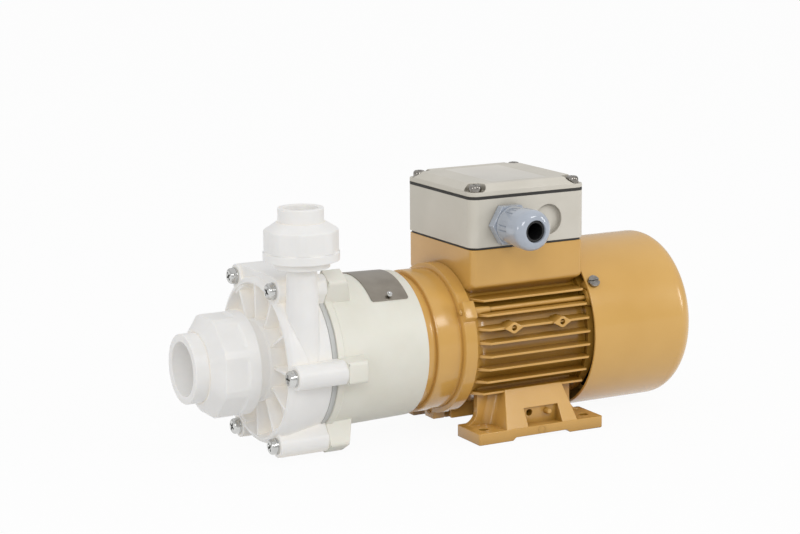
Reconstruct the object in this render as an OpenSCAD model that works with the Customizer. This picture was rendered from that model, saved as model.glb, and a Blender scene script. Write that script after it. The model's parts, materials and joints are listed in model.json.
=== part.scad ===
// Magnetic drive pump: a seal-less plastic pump close-coupled to a small finned electric motor.
// +X runs along the shaft towards the fan, the suction union points to -X and +Z is up.
// The origin is the middle of the four foot holes, on the face that the feet stand on.

/* [Motor frame] */
// Height of the shaft above the feet
shaft_h = 56; // [54:0.5:60]
// Foot hole spacing along the shaft
foot_pitch_x = 71; // [67:0.5:74]
// Foot hole spacing across the shaft
foot_pitch_y = 90; // [86:0.5:94]
// Foot hole diameter
foot_hole_d = 5.8; // [4.5:0.1:6.6]
// Length of a foot plate
foot_l = 87.3; // [84:0.1:92]
// Width of a foot plate
foot_w = 27; // [24:0.5:30]
// Width over both feet
foot_span = 108.6; // [106:0.2:114]
// Thickness of a foot plate
foot_t = 7.2; // [5:0.2:9]
// Depth of the relief under the middle of a foot
foot_relief = 1.8; // [1:0.1:3]
// Distance from the flange face to the first foot hole
flange_to_foot = 36; // [34:0.5:40]

/* [Motor housing] */
// Length of the housing barrel
housing_len = 78.5; // [74:0.5:84]
// Outside diameter of the stator core
stator_d = 80; // [76:0.5:82]
// Wall of the barrel round the stator core
housing_wall = 4; // [3:0.1:5]
// Height of the fins over the barrel
fin_h = 6.3; // [5:0.1:7.5]
// Thickness of a fin
fin_t = 2.2; // [1.6:0.1:3]
// Spacing of the fins
fin_pitch = 8.15; // [7.6:0.05:8.6]
// Length of the bevel at the front end of the fins
fin_bevel = 5.5; // [3:0.5:8]
// Distance of the terminal box pedestal from each end of the barrel
pedestal_end = 0.15; // [0.1:0.05:1]
// Width of the pedestal across the shaft
pedestal_w = 78.2; // [75:0.2:80]
// Height of the pedestal's top face over the shaft
pedestal_h = 59.2; // [57:0.2:64]
// Diameter of the wire passage in the pedestal
wire_hole_d = 24; // [16:1:30]

/* [End shields] */
// Length of the front end shield
shield_len = 31.5; // [29:0.5:35]
// Depth of the flange rim below the surface of the barrel
flange_step = 2.8; // [2:0.1:4]
// Depth of the end shield below the surface of the barrel
shield_step = 0.7; // [0.3:0.1:1.5]
// Height of the collar over the surface of the barrel
collar_step = 2.1; // [1.5:0.1:3]
// Spigot diameter of the flange
spigot_d = 50; // [46:1:54]
// Height of the spigot
spigot_h = 2.5; // [2:0.1:3]
// Bolt circle of the flange
flange_pcd = 65; // [60:0.5:68]
// Diameter of the lantern bolts
flange_bolt_d = 5; // [4:0.5:6]
// Distance of the tie bolts from the surface of the barrel
tie_step = 2; // [1.5:0.1:3]
// Diameter of the tie bolts
tie_d = 4; // [3:0.5:4.5]

/* [Rotor and bearings] */
// Diameter of the free shaft end
shaft_end_d = 9; // [8:0.5:10]
// Length of the free shaft end
shaft_end_l = 20; // [18:0.5:22]
// Bearing bore
bearing_id = 12; // [11:0.5:13]
// Bearing outside diameter
bearing_od = 32; // [30:0.5:34]
// Bearing width
bearing_w = 10; // [9:0.5:11]
// Length of the stator and rotor stacks
stack_len = 44; // [38:1:48]
// Rotor diameter
rotor_d = 45; // [42:0.5:48]
// Air gap between rotor and stator
air_gap = 0.4; // [0.3:0.05:0.8]

/* [Fan and cowl] */
// Length of the fan cowl
cowl_len = 75; // [70:0.5:82]
// Height of the fan cowl over the fin tips
cowl_step = 1.9; // [1.6:0.1:3]
// Sheet thickness of the cowl
cowl_t = 1.5; // [1:0.1:1.6]
// Radius of the cowl's rear edge
cowl_edge_r = 12; // [8:0.5:16]
// Fan diameter
fan_d = 90; // [80:1:94]
// Width of the fan blades
fan_blade_w = 22; // [16:0.5:24]
// Number of fan blades
fan_blades = 8; // [5:1:10]

/* [Terminal box] */
// Length of the box along the shaft
box_l = 80; // [77:0.2:82]
// Width of the box across the shaft
box_w = 80; // [77:0.2:82]
// Height of the box frame
box_h = 29; // [26:0.5:34]
// Wall thickness of the box
box_wall = 3.5; // [2.5:0.1:4]
// Corner radius of the box
box_corner_r = 6; // [4:0.5:8]
// Thickness of the gasket under the box
base_gasket_t = 1.3; // [1:0.1:2]
// Thickness of the gasket under the lid
lid_gasket_t = 1.6; // [1:0.1:2]
// Height of the lid's rim
lid_rim_h = 3.1; // [2.5:0.1:4]
// Height of the raised lid panel over the rim
lid_rise = 3.7; // [2:0.1:5]
// Distance of the lid screws from the sides of the box
lid_inset = 6; // [5:0.1:7]

/* [Cable gland] */
// Thread diameter of the gland
gland_d = 20; // [18:0.5:22]
// Width across the flats of the gland's hexagon
gland_af = 24; // [23:0.5:27]
// Thickness of the gland's hexagon
gland_hex_t = 5.5; // [4:0.5:8]
// Outside diameter of the gland nut
gland_nut_d = 25; // [24.5:0.1:27]
// Length of the gland nut
gland_nut_l = 26; // [22:0.5:30]
// Clear cable hole of the seal
gland_hole_d = 13; // [10:0.5:14]
// Distance of the gland from the box middle
gland_offset = 15.2; // [13:0.1:17]
// Height of the gland axis over the box bottom
gland_z = 13.2; // [12.5:0.1:15]

/* [Lantern] */
// Length of the lantern between motor flange and containment shell
lantern_len = 60.9; // [58:0.1:66]
// Outside diameter of the lantern at its front
lantern_front_d = 90.8; // [89:0.2:92]
// Outside diameter of the lantern at the motor
lantern_rear_d = 88; // [86:0.2:90]
// Diameter of the lantern's front flange
lantern_flange_d = 93; // [92:0.2:96]
// Thickness of the lantern's front flange
lantern_flange_t = 4.8; // [4:0.1:7]
// Wall thickness of the lantern
lantern_wall = 4; // [3:0.1:4.5]
// Thickness of the lantern's rear wall
lantern_rear_t = 5.5; // [4.5:0.1:7]
// Length of a lantern lug at its outer end
lantern_lug_l = 11.9; // [10:0.1:14]
// Length of a lantern lug at the tube
lantern_gusset_l = 16.9; // [15:0.1:20]

/* [Magnetic coupling] */
// Outside diameter of the containment can
can_d = 52; // [50:0.5:53]
// Wall of the containment can
can_wall = 2.4; // [1.8:0.1:3]
// Thickness of the containment shell's flange
can_flange_t = 3.2; // [2.6:0.1:5]
// Gap between the can and each magnet ring
can_gap = 1.2; // [0.8:0.1:1.5]
// Radial thickness of the drive magnets
magnet_t = 4; // [3:0.1:4.5]
// Wall of the outer magnet carrier
carrier_wall = 3.8; // [3:0.1:4.5]
// Number of drive magnets
magnet_count = 10; // [6:2:14]
// Diameter of the ceramic pump shaft
pump_shaft_d = 10; // [8:0.5:11]
// Wall of the impeller bush
bush_wall = 3; // [2:0.1:3.5]

/* [Pump casing] */
// Length of the casing bosses
boss_len = 27.9; // [26:0.1:32]
// Radius of the casing bosses
boss_r = 7; // [6.5:0.1:8]
// Bolt circle radius of the casing screws
screw_circle_r = 52.9; // [51.5:0.1:54.5]
// Casing screw diameter
screw_d = 5; // [4:0.5:5.5]
// Casing diameter against the containment shell
casing_rear_d = 90.6; // [89.5:0.2:92]
// Casing diameter near its front rim
casing_front_d = 99.4; // [97:0.2:101]
// Diameter of the impeller chamber
chamber_d = 77; // [74:0.5:79]
// Depth of the impeller chamber
chamber_depth = 16.5; // [15.5:0.1:18]
// Wall in front of the impeller chamber
front_wall = 4; // [3:0.1:5]
// Number of radial ribs on the casing front
rib_count = 12; // [12:6:24]
// Thickness of a rib
rib_t = 1.8; // [1.2:0.1:2.4]
// Impeller diameter
impeller_d = 70; // [64:0.5:72]
// Number of impeller vanes
vane_count = 6; // [4:1:8]

/* [Suction union] */
// Length of the suction neck from the casing's rear face
neck_len = 56; // [54:0.5:60]
// Thread diameter of the suction neck
neck_d = 47.4; // [46:0.2:49]
// Bore of the suction neck
suction_d = 28; // [24:0.5:29]
// Outside diameter of the suction tailpiece
tail_d = 41; // [40:0.2:42]
// Pipe socket of the suction tailpiece
socket_d = 32; // [30:0.5:33]
// Length of the suction tailpiece in front of the neck
tail_len = 18.5; // [17:0.5:24]
// Diameter of the suction nut's collar
nut_d = 61; // [60:0.2:64]
// Length of the suction nut
nut_len = 28.2; // [27:0.2:30]

/* [Discharge union] */
// Distance of the discharge axis from the shaft axis
outlet_y = 37.5; // [36.5:0.1:38.5]
// Distance of the discharge axis from the casing's rear face
outlet_u = 15.3; // [14.5:0.1:16]
// Outside diameter of the discharge pipe
outlet_d = 17.6; // [17:0.2:19]
// Bore of the discharge pipe
outlet_bore = 12.4; // [10:0.2:13]
// Height of the union face over the shaft axis
outlet_h = 76; // [74:0.5:82]
// Thread diameter of the discharge neck
outlet_neck_d = 32.6; // [31.5:0.2:34]
// Length of the discharge thread under the union face
outlet_neck_l = 11.3; // [10:0.1:13]
// Outside diameter of the discharge tailpiece
outlet_tail_d = 26.4; // [25.5:0.2:27]
// Pipe socket of the discharge tailpiece
outlet_socket_d = 20; // [18:0.5:21]
// Length of the discharge tailpiece above the neck
outlet_tail_l = 18.9; // [17:0.1:22]
// Diameter of the discharge nut's collar
outlet_nut_d = 44; // [42.5:0.2:46]
// Length of the discharge nut
outlet_nut_l = 22; // [20.5:0.1:23]

/* [Fits] */
// Radial gap of a seat that doesn't turn
fit_gap = 0.05; // [0.03:0.01:0.1]
// Radial running gap of the ceramic shaft in its bush
run_gap = 0.05; // [0.03:0.01:0.08]
// Radial gap of a loose thread or a free hole
thread_gap = 0.3; // [0.2:0.05:0.4]

/* [Hidden] */
$fn = 64;
OCHRE = "#cfa256";
CREAM = "#dedcd0";
NATURAL = "#ecebe6";
BOX_GREY = "#c8c3b6";
GLAND_GREY = "#b9c2d2";
STEEL = "#c9c9c7";
BLACK = "#2b2d30";
BRASS = "#c9a24a";
CERAMIC = "#f3efe6";

// Stations along the shaft, from the fan to the suction union
x_flange = -(foot_pitch_x / 2 + flange_to_foot);
x_shield_rear = x_flange + shield_len;
x_housing_rear = x_shield_rear + housing_len;
x_middle = (x_shield_rear + x_housing_rear) / 2;
cowl_gap = 0.9;
x_cowl_front = x_housing_rear + cowl_gap;
x_cowl_rear = x_cowl_front + cowl_len;
x_lantern_front = x_flange - lantern_len;
x_casing_rear = x_lantern_front - can_flange_t;
x_boss_front = x_casing_rear - boss_len;
x_neck_end = x_casing_rear - neck_len;
x_tail_front = x_neck_end - tail_len;

// Angles above the horizontal on the near side
tie_angles = [30, 150, 270];
cowl_angles = [38, 142, 255];
screw_angles = [0 : 60 : 300];
flange_angles = [45 : 90 : 315];
spider_angles = [30, 150, 270];

// Small edge breaks and the length a cut runs past a face
chamfer = 0.6;
past = 1;

// Diameters built up from the stator core
body_d = stator_d + 2 * housing_wall;
fin_tip_d = body_d + 2 * fin_h;
flange_d = body_d - 2 * flange_step;
shield_d = body_d - 2 * shield_step;
collar_d = body_d + 2 * collar_step;
tie_r = body_d / 2 + tie_step;
cowl_d = fin_tip_d + 2 * cowl_step;

// End shields and bearings
front_lip_t = 9.5;
x_front_bearing = x_flange + front_lip_t;
shield_wall = 13.5;
rim_l = 6.1;
groove = 0.8;
collar_l = 7.6;
ear_l = 8.8;
ear_w = 11;
ear_top = tie_r + 4.2;
ear_root = stator_d / 2 - 2;
ear_chamfer = 3;
register_l = 3;
register_t = 2.5;
flange_thread_l = 11;
hub_wall = 4;
rear_plate_t = 5;
x_rear_bearing = x_housing_rear + 7.5;
rear_lip_t = 2;
washer_l = 1.3;
ring_t = (bearing_od - bearing_id) * 0.14;
ball_r = (bearing_od - bearing_id) * 0.15;
ball_circle_r = (bearing_od + bearing_id) / 4;
ball_count = 7;
x_rear_lip = x_rear_bearing + bearing_w + washer_l + 2 * fit_gap;
x_hub_rear = x_rear_lip + rear_lip_t;
x_cowl_screw = x_cowl_front + 4.8;
cowl_screw_d = 3.2;
cowl_screw_l = 8;
cowl_head_r = 3.8;
cowl_head_h = 2.2;
cowl_slot_w = 1;
pad_r = 5;
x_tie_head = x_housing_rear + rear_plate_t;
tie_boss_r = tie_d / 2 + 1.3;
tie_boss_l = 11;
tie_end = 0.8;
tie_head_r = tie_d * 0.85;

// Cowl grille
grille_r = 10;
grille_pitch = 6;
grille_slot = 3.4;
grille_margin = 4;
grille_bars = 8;
grille_bar_w = 4;

// Rotor
shaft_d = bearing_id + 2;
fan_shaft_d = bearing_id - 2;
x_fan = x_hub_rear + 7;
fan_disc_t = 2.5;
fan_blade_t = 2;
fan_hub_l = 18;
fan_hub_r = fan_shaft_d / 2 + 5;
clip_t = 1.2;
clip_depth = 0.8;
clip_w = 2.5;
clip_mouth = 3;
x_fan_clip = x_fan + fan_hub_l + fit_gap;
x_shaft_rear = x_fan_clip + 3;
x_shaft_front = x_flange - shaft_end_l;
key_w = 3;
key_l = 12;
key_x0 = x_shaft_front + 3;
key_base = shaft_end_d / 2 - 1.8;
set_screw_r = 2;
winding_overhang = 11;
winding_t = 9;
winding_r = (stator_d + rotor_d) / 4 - 1;
slot_count = 24;
slot_l = 9;
slot_w = 2.6;
tooth_tip = 2;
end_ring_l = 3;

// Housing, fins and feet
pedestal_l = housing_len - 2 * pedestal_end;
pedestal_skirt = 38;
fin_front_gap = 1.5;
fin_rear_gap = 0.8;
side_fins = 8;
bottom_fins = 4;
z_bottom_fin = shaft_h - (side_fins - 1) / 2 * fin_pitch;
z_foot_root = shaft_h - 22;
foot_edge = foot_span / 2;
foot_corner_r = 3;
foot_wall_y = 18.6 - foot_edge;
foot_wall_t = 4.4;
foot_flare = 7;
relief_l = 37;
block_x = [25, 19.3];
foot_wall_x = [x_shield_rear + 7, x_housing_rear - 5.5];
block_y = sqrt(fin_tip_d * fin_tip_d / 4 - pow(shaft_h - z_bottom_fin, 2)) + 0.6;
pocket = [3, 9.8 - foot_edge, foot_t + 5.2];
pocket_l = 24;
pocket_h = 9.6;
earth_hole_at = [-7, 0, 1.2];
earth_peg_at = [5, 0, 1.2];
earth_hole_r = 2;
earth_hole_l = 7;
side_boss_x = [-17, 17];
side_boss_z = shaft_h + 1.5 * fin_pitch;
side_boss_l = 14;
side_boss_h = 7.6;
side_hole_r = 1.7;
side_hole_l = 5;

// Terminal box
box_x = x_middle;
z_pedestal = shaft_h + pedestal_h;
z_box = z_pedestal + base_gasket_t;
z_lid_gasket = z_box + box_h;
z_lid = z_lid_gasket + lid_gasket_t;
z_lid_rim = z_lid + lid_rim_h;
z_lid_top = z_lid_rim + lid_rise;
box_floor_t = 3;
box_inner_r = box_corner_r - box_wall + 1;
pillar_r = 5;
lid_screw_d = 4;
lid_thread_l = 14;
lid_pocket_r = 6.2;
lid_pocket_z = z_lid_rim - 0.6;
lid_slope = 5;
lid_skirt = 8;
box_screw_d = 4;
box_thread_l = 10;
box_screw_inset = [12, 14];
x_gland = box_x - gland_offset;
x_knockout = box_x + gland_offset - 1.8;
z_gland = z_box + gland_z;
y_box = -box_w / 2;
knockout_r = 9.4;
knockout_taper = 2;
knockout_depth = 2.2;
block_l = 40;
block_w = 14;
block_h = 9;
block_wall_gap = 7.5;
y_block = box_w / 2 - box_wall - block_wall_gap - block_w;
z_block = z_box + box_floor_t;
stud_pitch = 12;
stud_r = 2;
stud_l = 13;
stud_seat = 3;

// Cable gland, measured out from the box wall
gland_thread_l = 12;
gland_seat = gland_hex_t + 2;
gland_seal_t = 2;
gland_seal_l = 14;
gland_squeeze = 1.5;
gland_gap = 0.6;
gland_dome_l = 13;
gland_dome_r = 5;

// Magnetic coupling
carrier_gap = 1;
x_carrier_rear = x_flange - spigot_h - carrier_gap;
carrier_hub_r = shaft_end_d / 2 + 9;
carrier_plate_t = 6;
magnet_fill = 300;
x_carrier_plate = x_shaft_front - 5.5;
carrier_ri = can_d / 2 + can_gap + magnet_t;
carrier_ro = carrier_ri + carrier_wall;
x_can_end = x_carrier_plate - 1.5;
can_end_t = 3.5;
can_boss_l = 4;
x_can_boss = x_can_end - can_end_t - can_boss_l;
x_cup_front = x_lantern_front + 5.4;
magnet_margin = 1;
can_ri = can_d / 2 - can_wall;
thrust_l = 2;
bush_end_gap = 0.3;
can_seat_l = 3;
can_seat_wall = 2.5;
shaft_boss_r = pump_shaft_d / 2 + 3;
rotor_capsule_r = can_ri - can_gap + 0.1;
capsule_x = [x_casing_rear + 3, x_can_boss - thrust_l - 2];
capsule_wall = 1.5;
capsule_skin = 1.2;
inner_magnet_t = 6.3;
shaft_seat = 5.8;

// Impeller
bush_r = pump_shaft_d / 2 + run_gap + bush_wall;
impeller_ri = bush_r + fit_gap;
tip_r = impeller_d / 2;
x_back = x_casing_rear - 2;
disc_t = 2.5;
x_disc = x_back - disc_t;
tip_width = 3.5;
shroud_t = 2;
eye_r = suction_d / 2 + 1.5;
x_eye = x_casing_rear - chamber_depth + 0.6;
eye_l = 5;
nose_l = 4;
vane_t = 1.8;
vane_r = tip_r * 0.62;
vane_centre = [tip_r * 0.5, tip_r * 0.15];

// Lantern
lantern_ri = lantern_rear_d / 2 - lantern_wall + 0.5;
x_lantern_step = x_lantern_front + lantern_flange_t;
lug_tip_r = screw_circle_r + boss_r;
insert_r = screw_d / 2 + 1;
insert_l = 7;
flange_head_r = flange_bolt_d * 0.85;
flange_head_h = flange_bolt_d * 0.7;
plate_angles = [48, 132];
plate_t = 0.6;
plate_x = [x_flange - 30.5, x_flange - 6];
rivet_angles = [52, 128];
rivet_r = 1.9;

// Casing
lug_web = 2 * boss_r - 1.2;
bulge_l = 4;
x_rim = x_boss_front - 1;
x_dish = x_casing_rear - chamber_depth - front_wall;
rim_t = 2.1;
rim_r = screw_circle_r - screw_d - thread_gap;
dish_r = rim_r - rim_t;
hub_r = neck_d / 2 + 0.8;
top_web_h = 10;
outlet_flare = 1.6;
x_spider = x_casing_rear - chamber_depth - 7.8;
spider_l = 10;
spider_t = 3;
oring_r = 1.15;
oring_groove = 2 * (oring_r + fit_gap);
casing_oring_r = (chamber_d / 2 + casing_rear_d / 2) / 2;
washer_t = 1;
washer_r = screw_d;
head_r = screw_d * 0.95;
head_h = 3.6;

// Unions, each with a lip in the nut that holds the collar of the tailpiece
collar_t = 4.5;
collar_r = neck_d / 2 - chamfer;
socket_stop = 2;
lip_clear = 0.3;
lip_t = 5.1;
x_lip = x_neck_end - collar_t - lip_clear;
x_nut_front = x_lip - lip_t;
x_nut_rear = x_nut_front + nut_len;
nut_cone_l = 6.5;
nut_ring_l = 7.7;
nut_lip_land = 1.2;
nut_flats = 8;
nut_flat_depth = 1.6;
suction_oring_r = (suction_d / 2 + neck_d / 2) / 2;
outlet_x = x_casing_rear - outlet_u;
z_outlet = shaft_h + outlet_h;
outlet_shoulder_h = 4.3;
outlet_collar_t = 4.2;
outlet_collar_r = outlet_neck_d / 2 - chamfer;
outlet_lip = outlet_collar_t + lip_clear;
outlet_lip_t = 6.2;
outlet_nut_top = outlet_lip + outlet_lip_t;
outlet_nut_bottom = outlet_nut_top - outlet_nut_l;
outlet_ring_l = 5;
outlet_cone_l = 4.5;
outlet_flat_depth = 0.9;
outlet_oring_r = (outlet_bore / 2 + outlet_neck_d / 2) / 2;

function arc(cx, cy, r, a0, a1, n = 8) =
    [for (i = [0 : n]) let (a = a0 + (a1 - a0) * i / n) [cx + r * cos(a), cy + r * sin(a)]];

// Children drawn along +Z lie along the shaft from station x
module on_axis(x) translate([x, 0, shaft_h]) rotate([0, 90, 0]) children();

// Solid of revolution about the shaft, from [radius, station] points
module revolve_x(points) on_axis(0) rotate_extrude($fn = 96) polygon(points);

// The same over an arc of angles above the horizontal on the near side
module sector_x(points, a0, a1)
    on_axis(0) rotate([0, 0, 270 - a1]) rotate_extrude(angle = a1 - a0, $fn = 96) polygon(points);

module rod_x(r, x0, x1) on_axis(x0) cylinder(r = r, h = x1 - x0);

// Children drawn along +Z lie parallel to the shaft, at an angle and radius round it
module around(a, r, x)
    translate([x, -r * cos(a), shaft_h + r * sin(a)]) rotate([0, 90, 0]) children();

// Children drawn along -Y from the shaft point outwards at an angle
module spoke(a) translate([0, 0, shaft_h]) rotate([-a, 0, 0]) children();

// A profile in Y and Z, extruded along X
module slab_x(x0, x1) translate([x0, 0, 0]) rotate([90, 0, 90]) linear_extrude(x1 - x0) children();

// A profile in X and Z, extruded along Y
module slab_y(y0, y1) translate([0, y1, 0]) rotate([90, 0, 0]) linear_extrude(y1 - y0) children();

module rounded_rect(l, w, r) {
    square([l - 2 * r, w], center = true);
    square([l, w - 2 * r], center = true);
    for (x = [-1, 1], y = [-1, 1]) translate([x * (l / 2 - r), y * (w / 2 - r)]) circle(r);
}

module ring(ro, ri, h) difference() {
    cylinder(r = ro, h = h);
    translate([0, 0, -1]) cylinder(r = ri, h = h + 2);
}

module torus(r, section) rotate_extrude($fn = 96) translate([r, 0]) circle(section, $fn = 32);

// Pan head and shank along +Z, the seat of the head at z = 0 and the cross recess on top
module pan_screw(d, l, r, h) difference() {
    union() {
        rotate_extrude() polygon(concat([[0, 0], [r, 0], [r, h * 0.5]],
            arc(r - h * 0.5, h * 0.5, h * 0.5, 15, 90, 5), [[0, h]]));
        translate([0, 0, -l]) cylinder(r = d / 2, h = l + 0.01);
    }
    for (a = [0, 90]) rotate(a) translate([-r * 0.55, -r * 0.12, h * 0.45]) cube([r * 1.1, r * 0.24, h]);
}

module suction_tailpiece() color(NATURAL) revolve_x([
    [socket_d / 2, x_tail_front], [tail_d / 2 - chamfer, x_tail_front],
    [tail_d / 2, x_tail_front + chamfer], [tail_d / 2, x_neck_end - collar_t],
    [collar_r, x_neck_end - collar_t], [collar_r, x_neck_end], [suction_d / 2, x_neck_end],
    [suction_d / 2, x_neck_end - socket_stop], [socket_d / 2, x_neck_end - socket_stop]]);

// Eight flats ahead of a round collar, a cone at the front and a lip that holds the tailpiece
module suction_union_nut() color(NATURAL) let (r = nut_d / 2, x_ring = x_nut_rear - nut_ring_l)
    difference() {
        union() {
            revolve_x([[0, x_ring], [r - chamfer, x_ring], [r, x_ring + chamfer],
                [r, x_nut_rear - chamfer], [r - chamfer, x_nut_rear], [0, x_nut_rear]]);
            intersection() {
                on_axis(x_nut_front) rotate(180 / nut_flats)
                    cylinder(r = (r - nut_flat_depth) / cos(180 / nut_flats), h = nut_len - nut_ring_l + past,
                        $fn = nut_flats);
                revolve_x([[0, x_nut_front], [tail_d / 2 + nut_lip_land, x_nut_front],
                    [r, x_nut_front + nut_cone_l], [r, x_ring + past], [0, x_ring + past]]);
            }
        }
        rod_x(tail_d / 2 + thread_gap, x_nut_front - past, x_nut_rear + past);
        rod_x(neck_d / 2 + thread_gap, x_lip, x_nut_rear + past);
    }

module suction_o_ring() color(BLACK)
    on_axis(x_neck_end + oring_r + fit_gap) torus(suction_oring_r, oring_r);

// Children drawn along +Z stand on the union face of the discharge
module at_outlet() translate([outlet_x, -outlet_y, z_outlet]) children();

module discharge_tailpiece() color(NATURAL) at_outlet() rotate_extrude() polygon([
    [outlet_bore / 2, 0], [outlet_collar_r, 0], [outlet_collar_r, outlet_collar_t],
    [outlet_tail_d / 2, outlet_collar_t], [outlet_tail_d / 2, outlet_tail_l - chamfer],
    [outlet_tail_d / 2 - chamfer, outlet_tail_l], [outlet_socket_d / 2, outlet_tail_l],
    [outlet_socket_d / 2, socket_stop], [outlet_bore / 2, socket_stop]]);

// The same kind of nut, smaller: a ring below, soft flats and a cone round the tailpiece
module discharge_union_nut() color(NATURAL) let (r = outlet_nut_d / 2, z0 = outlet_nut_bottom,
        z1 = outlet_nut_top, z_ring = outlet_nut_bottom + outlet_ring_l)
    at_outlet() difference() {
        union() {
            rotate_extrude() polygon([[0, z0], [r - chamfer, z0], [r, z0 + chamfer], [r, z_ring],
                [r - chamfer, z_ring + chamfer], [0, z_ring + chamfer]]);
            intersection() {
                translate([0, 0, z_ring]) rotate(180 / nut_flats)
                    cylinder(r = (r - outlet_flat_depth) / cos(180 / nut_flats), h = z1 - z_ring,
                        $fn = nut_flats);
                rotate_extrude() polygon([[0, z_ring - past], [r - chamfer, z_ring - past],
                    [r - chamfer, z1 - outlet_cone_l], [outlet_tail_d / 2 + nut_lip_land, z1], [0, z1]]);
            }
        }
        translate([0, 0, z0 - past])
            cylinder(r = outlet_tail_d / 2 + thread_gap, h = outlet_nut_l + 2 * past);
        translate([0, 0, z0 - past]) cylinder(r = outlet_neck_d / 2 + thread_gap, h = outlet_lip - z0 + past);
    }

module discharge_o_ring() color(BLACK) at_outlet()
    translate([0, 0, -oring_r - fit_gap]) torus(outlet_oring_r, oring_r);

// Arms and hub in the suction bore that hold the front end of the ceramic shaft
module spider() {
    rod_x(shaft_boss_r, x_spider - spider_l, x_spider);
    for (a = spider_angles) spoke(a)
        translate([x_spider - spider_l, -suction_d / 2 - past, -spider_t / 2])
            cube([spider_l, suction_d / 2 + past, spider_t]);
}

// Groove for an O-ring, open on the far side of z = 0
module oring_cut(r) ring(r + oring_r + fit_gap, r - oring_r - fit_gap, oring_groove + past);

// Volute casing: a bulging barrel with an open dish at the front, radial ribs and a tangential outlet
module pump_casing() color(NATURAL) difference() {
    union() {
        revolve_x([[0, x_casing_rear], [casing_rear_d / 2, x_casing_rear],
            [casing_front_d / 2, x_boss_front + bulge_l], [casing_front_d / 2 - chamfer, x_boss_front + 1.2],
            [rim_r, x_boss_front + 0.2], [rim_r, x_rim], [dish_r, x_rim], [dish_r - 1, x_dish - 1],
            [hub_r, x_dish + 1], [hub_r, x_rim], [neck_d / 2, x_rim - 1], [neck_d / 2, x_neck_end + chamfer],
            [neck_d / 2 - chamfer, x_neck_end], [0, x_neck_end]]);
        for (i = [0 : rib_count - 1]) spoke(i * 360 / rib_count)
            translate([x_rim + 1, -dish_r - 1, -rib_t / 2])
                cube([x_dish - x_rim + 1, dish_r - hub_r + 1.5, rib_t]);
        for (a = screw_angles) {
            around(a, screw_circle_r, x_boss_front) cylinder(r = boss_r, h = boss_len);
            spoke(a) translate([x_boss_front + 1, -screw_circle_r, -lug_web / 2])
                cube([boss_len - 1, screw_circle_r - dish_r, lug_web]);
        }
        spoke(90) translate([x_boss_front + 2, -screw_circle_r * cos(30) - boss_r, -screw_circle_r / 2])
            cube([boss_len - 2, top_web_h, screw_circle_r]);
        translate([outlet_x, -outlet_y, shaft_h])
            cylinder(r1 = outlet_d / 2 + outlet_flare, r2 = outlet_d / 2, h = outlet_h - 2);
        at_outlet() translate([0, 0, -outlet_neck_l - outlet_shoulder_h])
            cylinder(r = outlet_neck_d / 2, h = outlet_neck_l + outlet_shoulder_h);
    }
    rod_x(chamber_d / 2, x_casing_rear - chamber_depth, x_casing_rear + past);
    difference() {
        rod_x(suction_d / 2, x_neck_end - past, x_casing_rear);
        spider();
    }
    rod_x(pump_shaft_d / 2 + fit_gap, x_spider - shaft_seat - fit_gap, x_spider + past);
    translate([outlet_x, -outlet_y, shaft_h]) cylinder(r = outlet_bore / 2, h = outlet_h + past);
    for (a = screw_angles) around(a, screw_circle_r, x_boss_front - past)
        cylinder(r = screw_d / 2 + thread_gap, h = boss_len + 2 * past);
    on_axis(x_casing_rear - oring_groove) oring_cut(casing_oring_r);
    on_axis(x_neck_end - past) oring_cut(suction_oring_r);
    at_outlet() translate([0, 0, -oring_groove]) oring_cut(outlet_oring_r);
}

module casing_screws() color(STEEL) for (a = screw_angles)
    around(a, screw_circle_r, x_boss_front - washer_t) rotate([180, 0, a * 2])
        pan_screw(screw_d, washer_t + boss_len + can_flange_t + lantern_lug_l - 1, head_r, head_h);

module casing_washers() color(STEEL) for (a = screw_angles)
    around(a, screw_circle_r, x_boss_front - washer_t) ring(washer_r, screw_d / 2 + 0.2, washer_t);

module casing_o_ring() color(BLACK)
    on_axis(x_casing_rear - oring_r - fit_gap) torus(casing_oring_r, oring_r);

// Lugged flange clamped between casing and lantern, with the blind can that keeps the liquid in
module containment_shell() color("#b4b4b0") difference() {
    union() {
        rod_x(casing_rear_d / 2 + chamfer, x_casing_rear, x_lantern_front);
        for (a = screw_angles) {
            around(a, screw_circle_r, x_casing_rear) cylinder(r = boss_r, h = can_flange_t);
            spoke(a) translate([x_casing_rear, -screw_circle_r, -lug_web / 2])
                cube([can_flange_t, screw_circle_r - casing_rear_d / 2 + 6, lug_web]);
        }
        rod_x(lantern_ri - thread_gap, x_lantern_front - 1, x_lantern_front + can_seat_l);
        rod_x(can_d / 2, x_casing_rear + 1, x_can_end);
    }
    on_axis(x_lantern_front + fit_gap) ring(lantern_ri - can_seat_wall, can_d / 2, can_seat_l + past);
    difference() {
        rod_x(can_ri, x_casing_rear - past, x_can_end - can_end_t);
        rod_x(shaft_boss_r, x_can_boss, x_can_end);
    }
    rod_x(pump_shaft_d / 2 + fit_gap, x_can_boss - past, x_can_boss + shaft_seat + fit_gap);
    for (a = screw_angles) around(a, screw_circle_r, x_casing_rear - past)
        cylinder(r = screw_d / 2 + thread_gap, h = can_flange_t + 2 * past);
}

module pump_shaft() color(CERAMIC)
    rod_x(pump_shaft_d / 2, x_spider - shaft_seat, x_can_boss + shaft_seat);

module thrust_rings() color(CERAMIC) for (x = [x_spider, x_can_boss - thrust_l])
    on_axis(x) ring(pump_shaft_d / 2 + bush_wall, pump_shaft_d / 2 + fit_gap, thrust_l);

// One backward-curved vane, as an outline seen along the shaft
module vane() intersection() {
    difference() {
        circle(tip_r - chamfer);
        circle(impeller_ri + nose_l - chamfer);
    }
    translate(vane_centre) difference() {
        circle(vane_r);
        circle(vane_r - vane_t);
        translate([-tip_r, -2 * tip_r]) square([3 * tip_r, 2 * tip_r]);
    }
}

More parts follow.
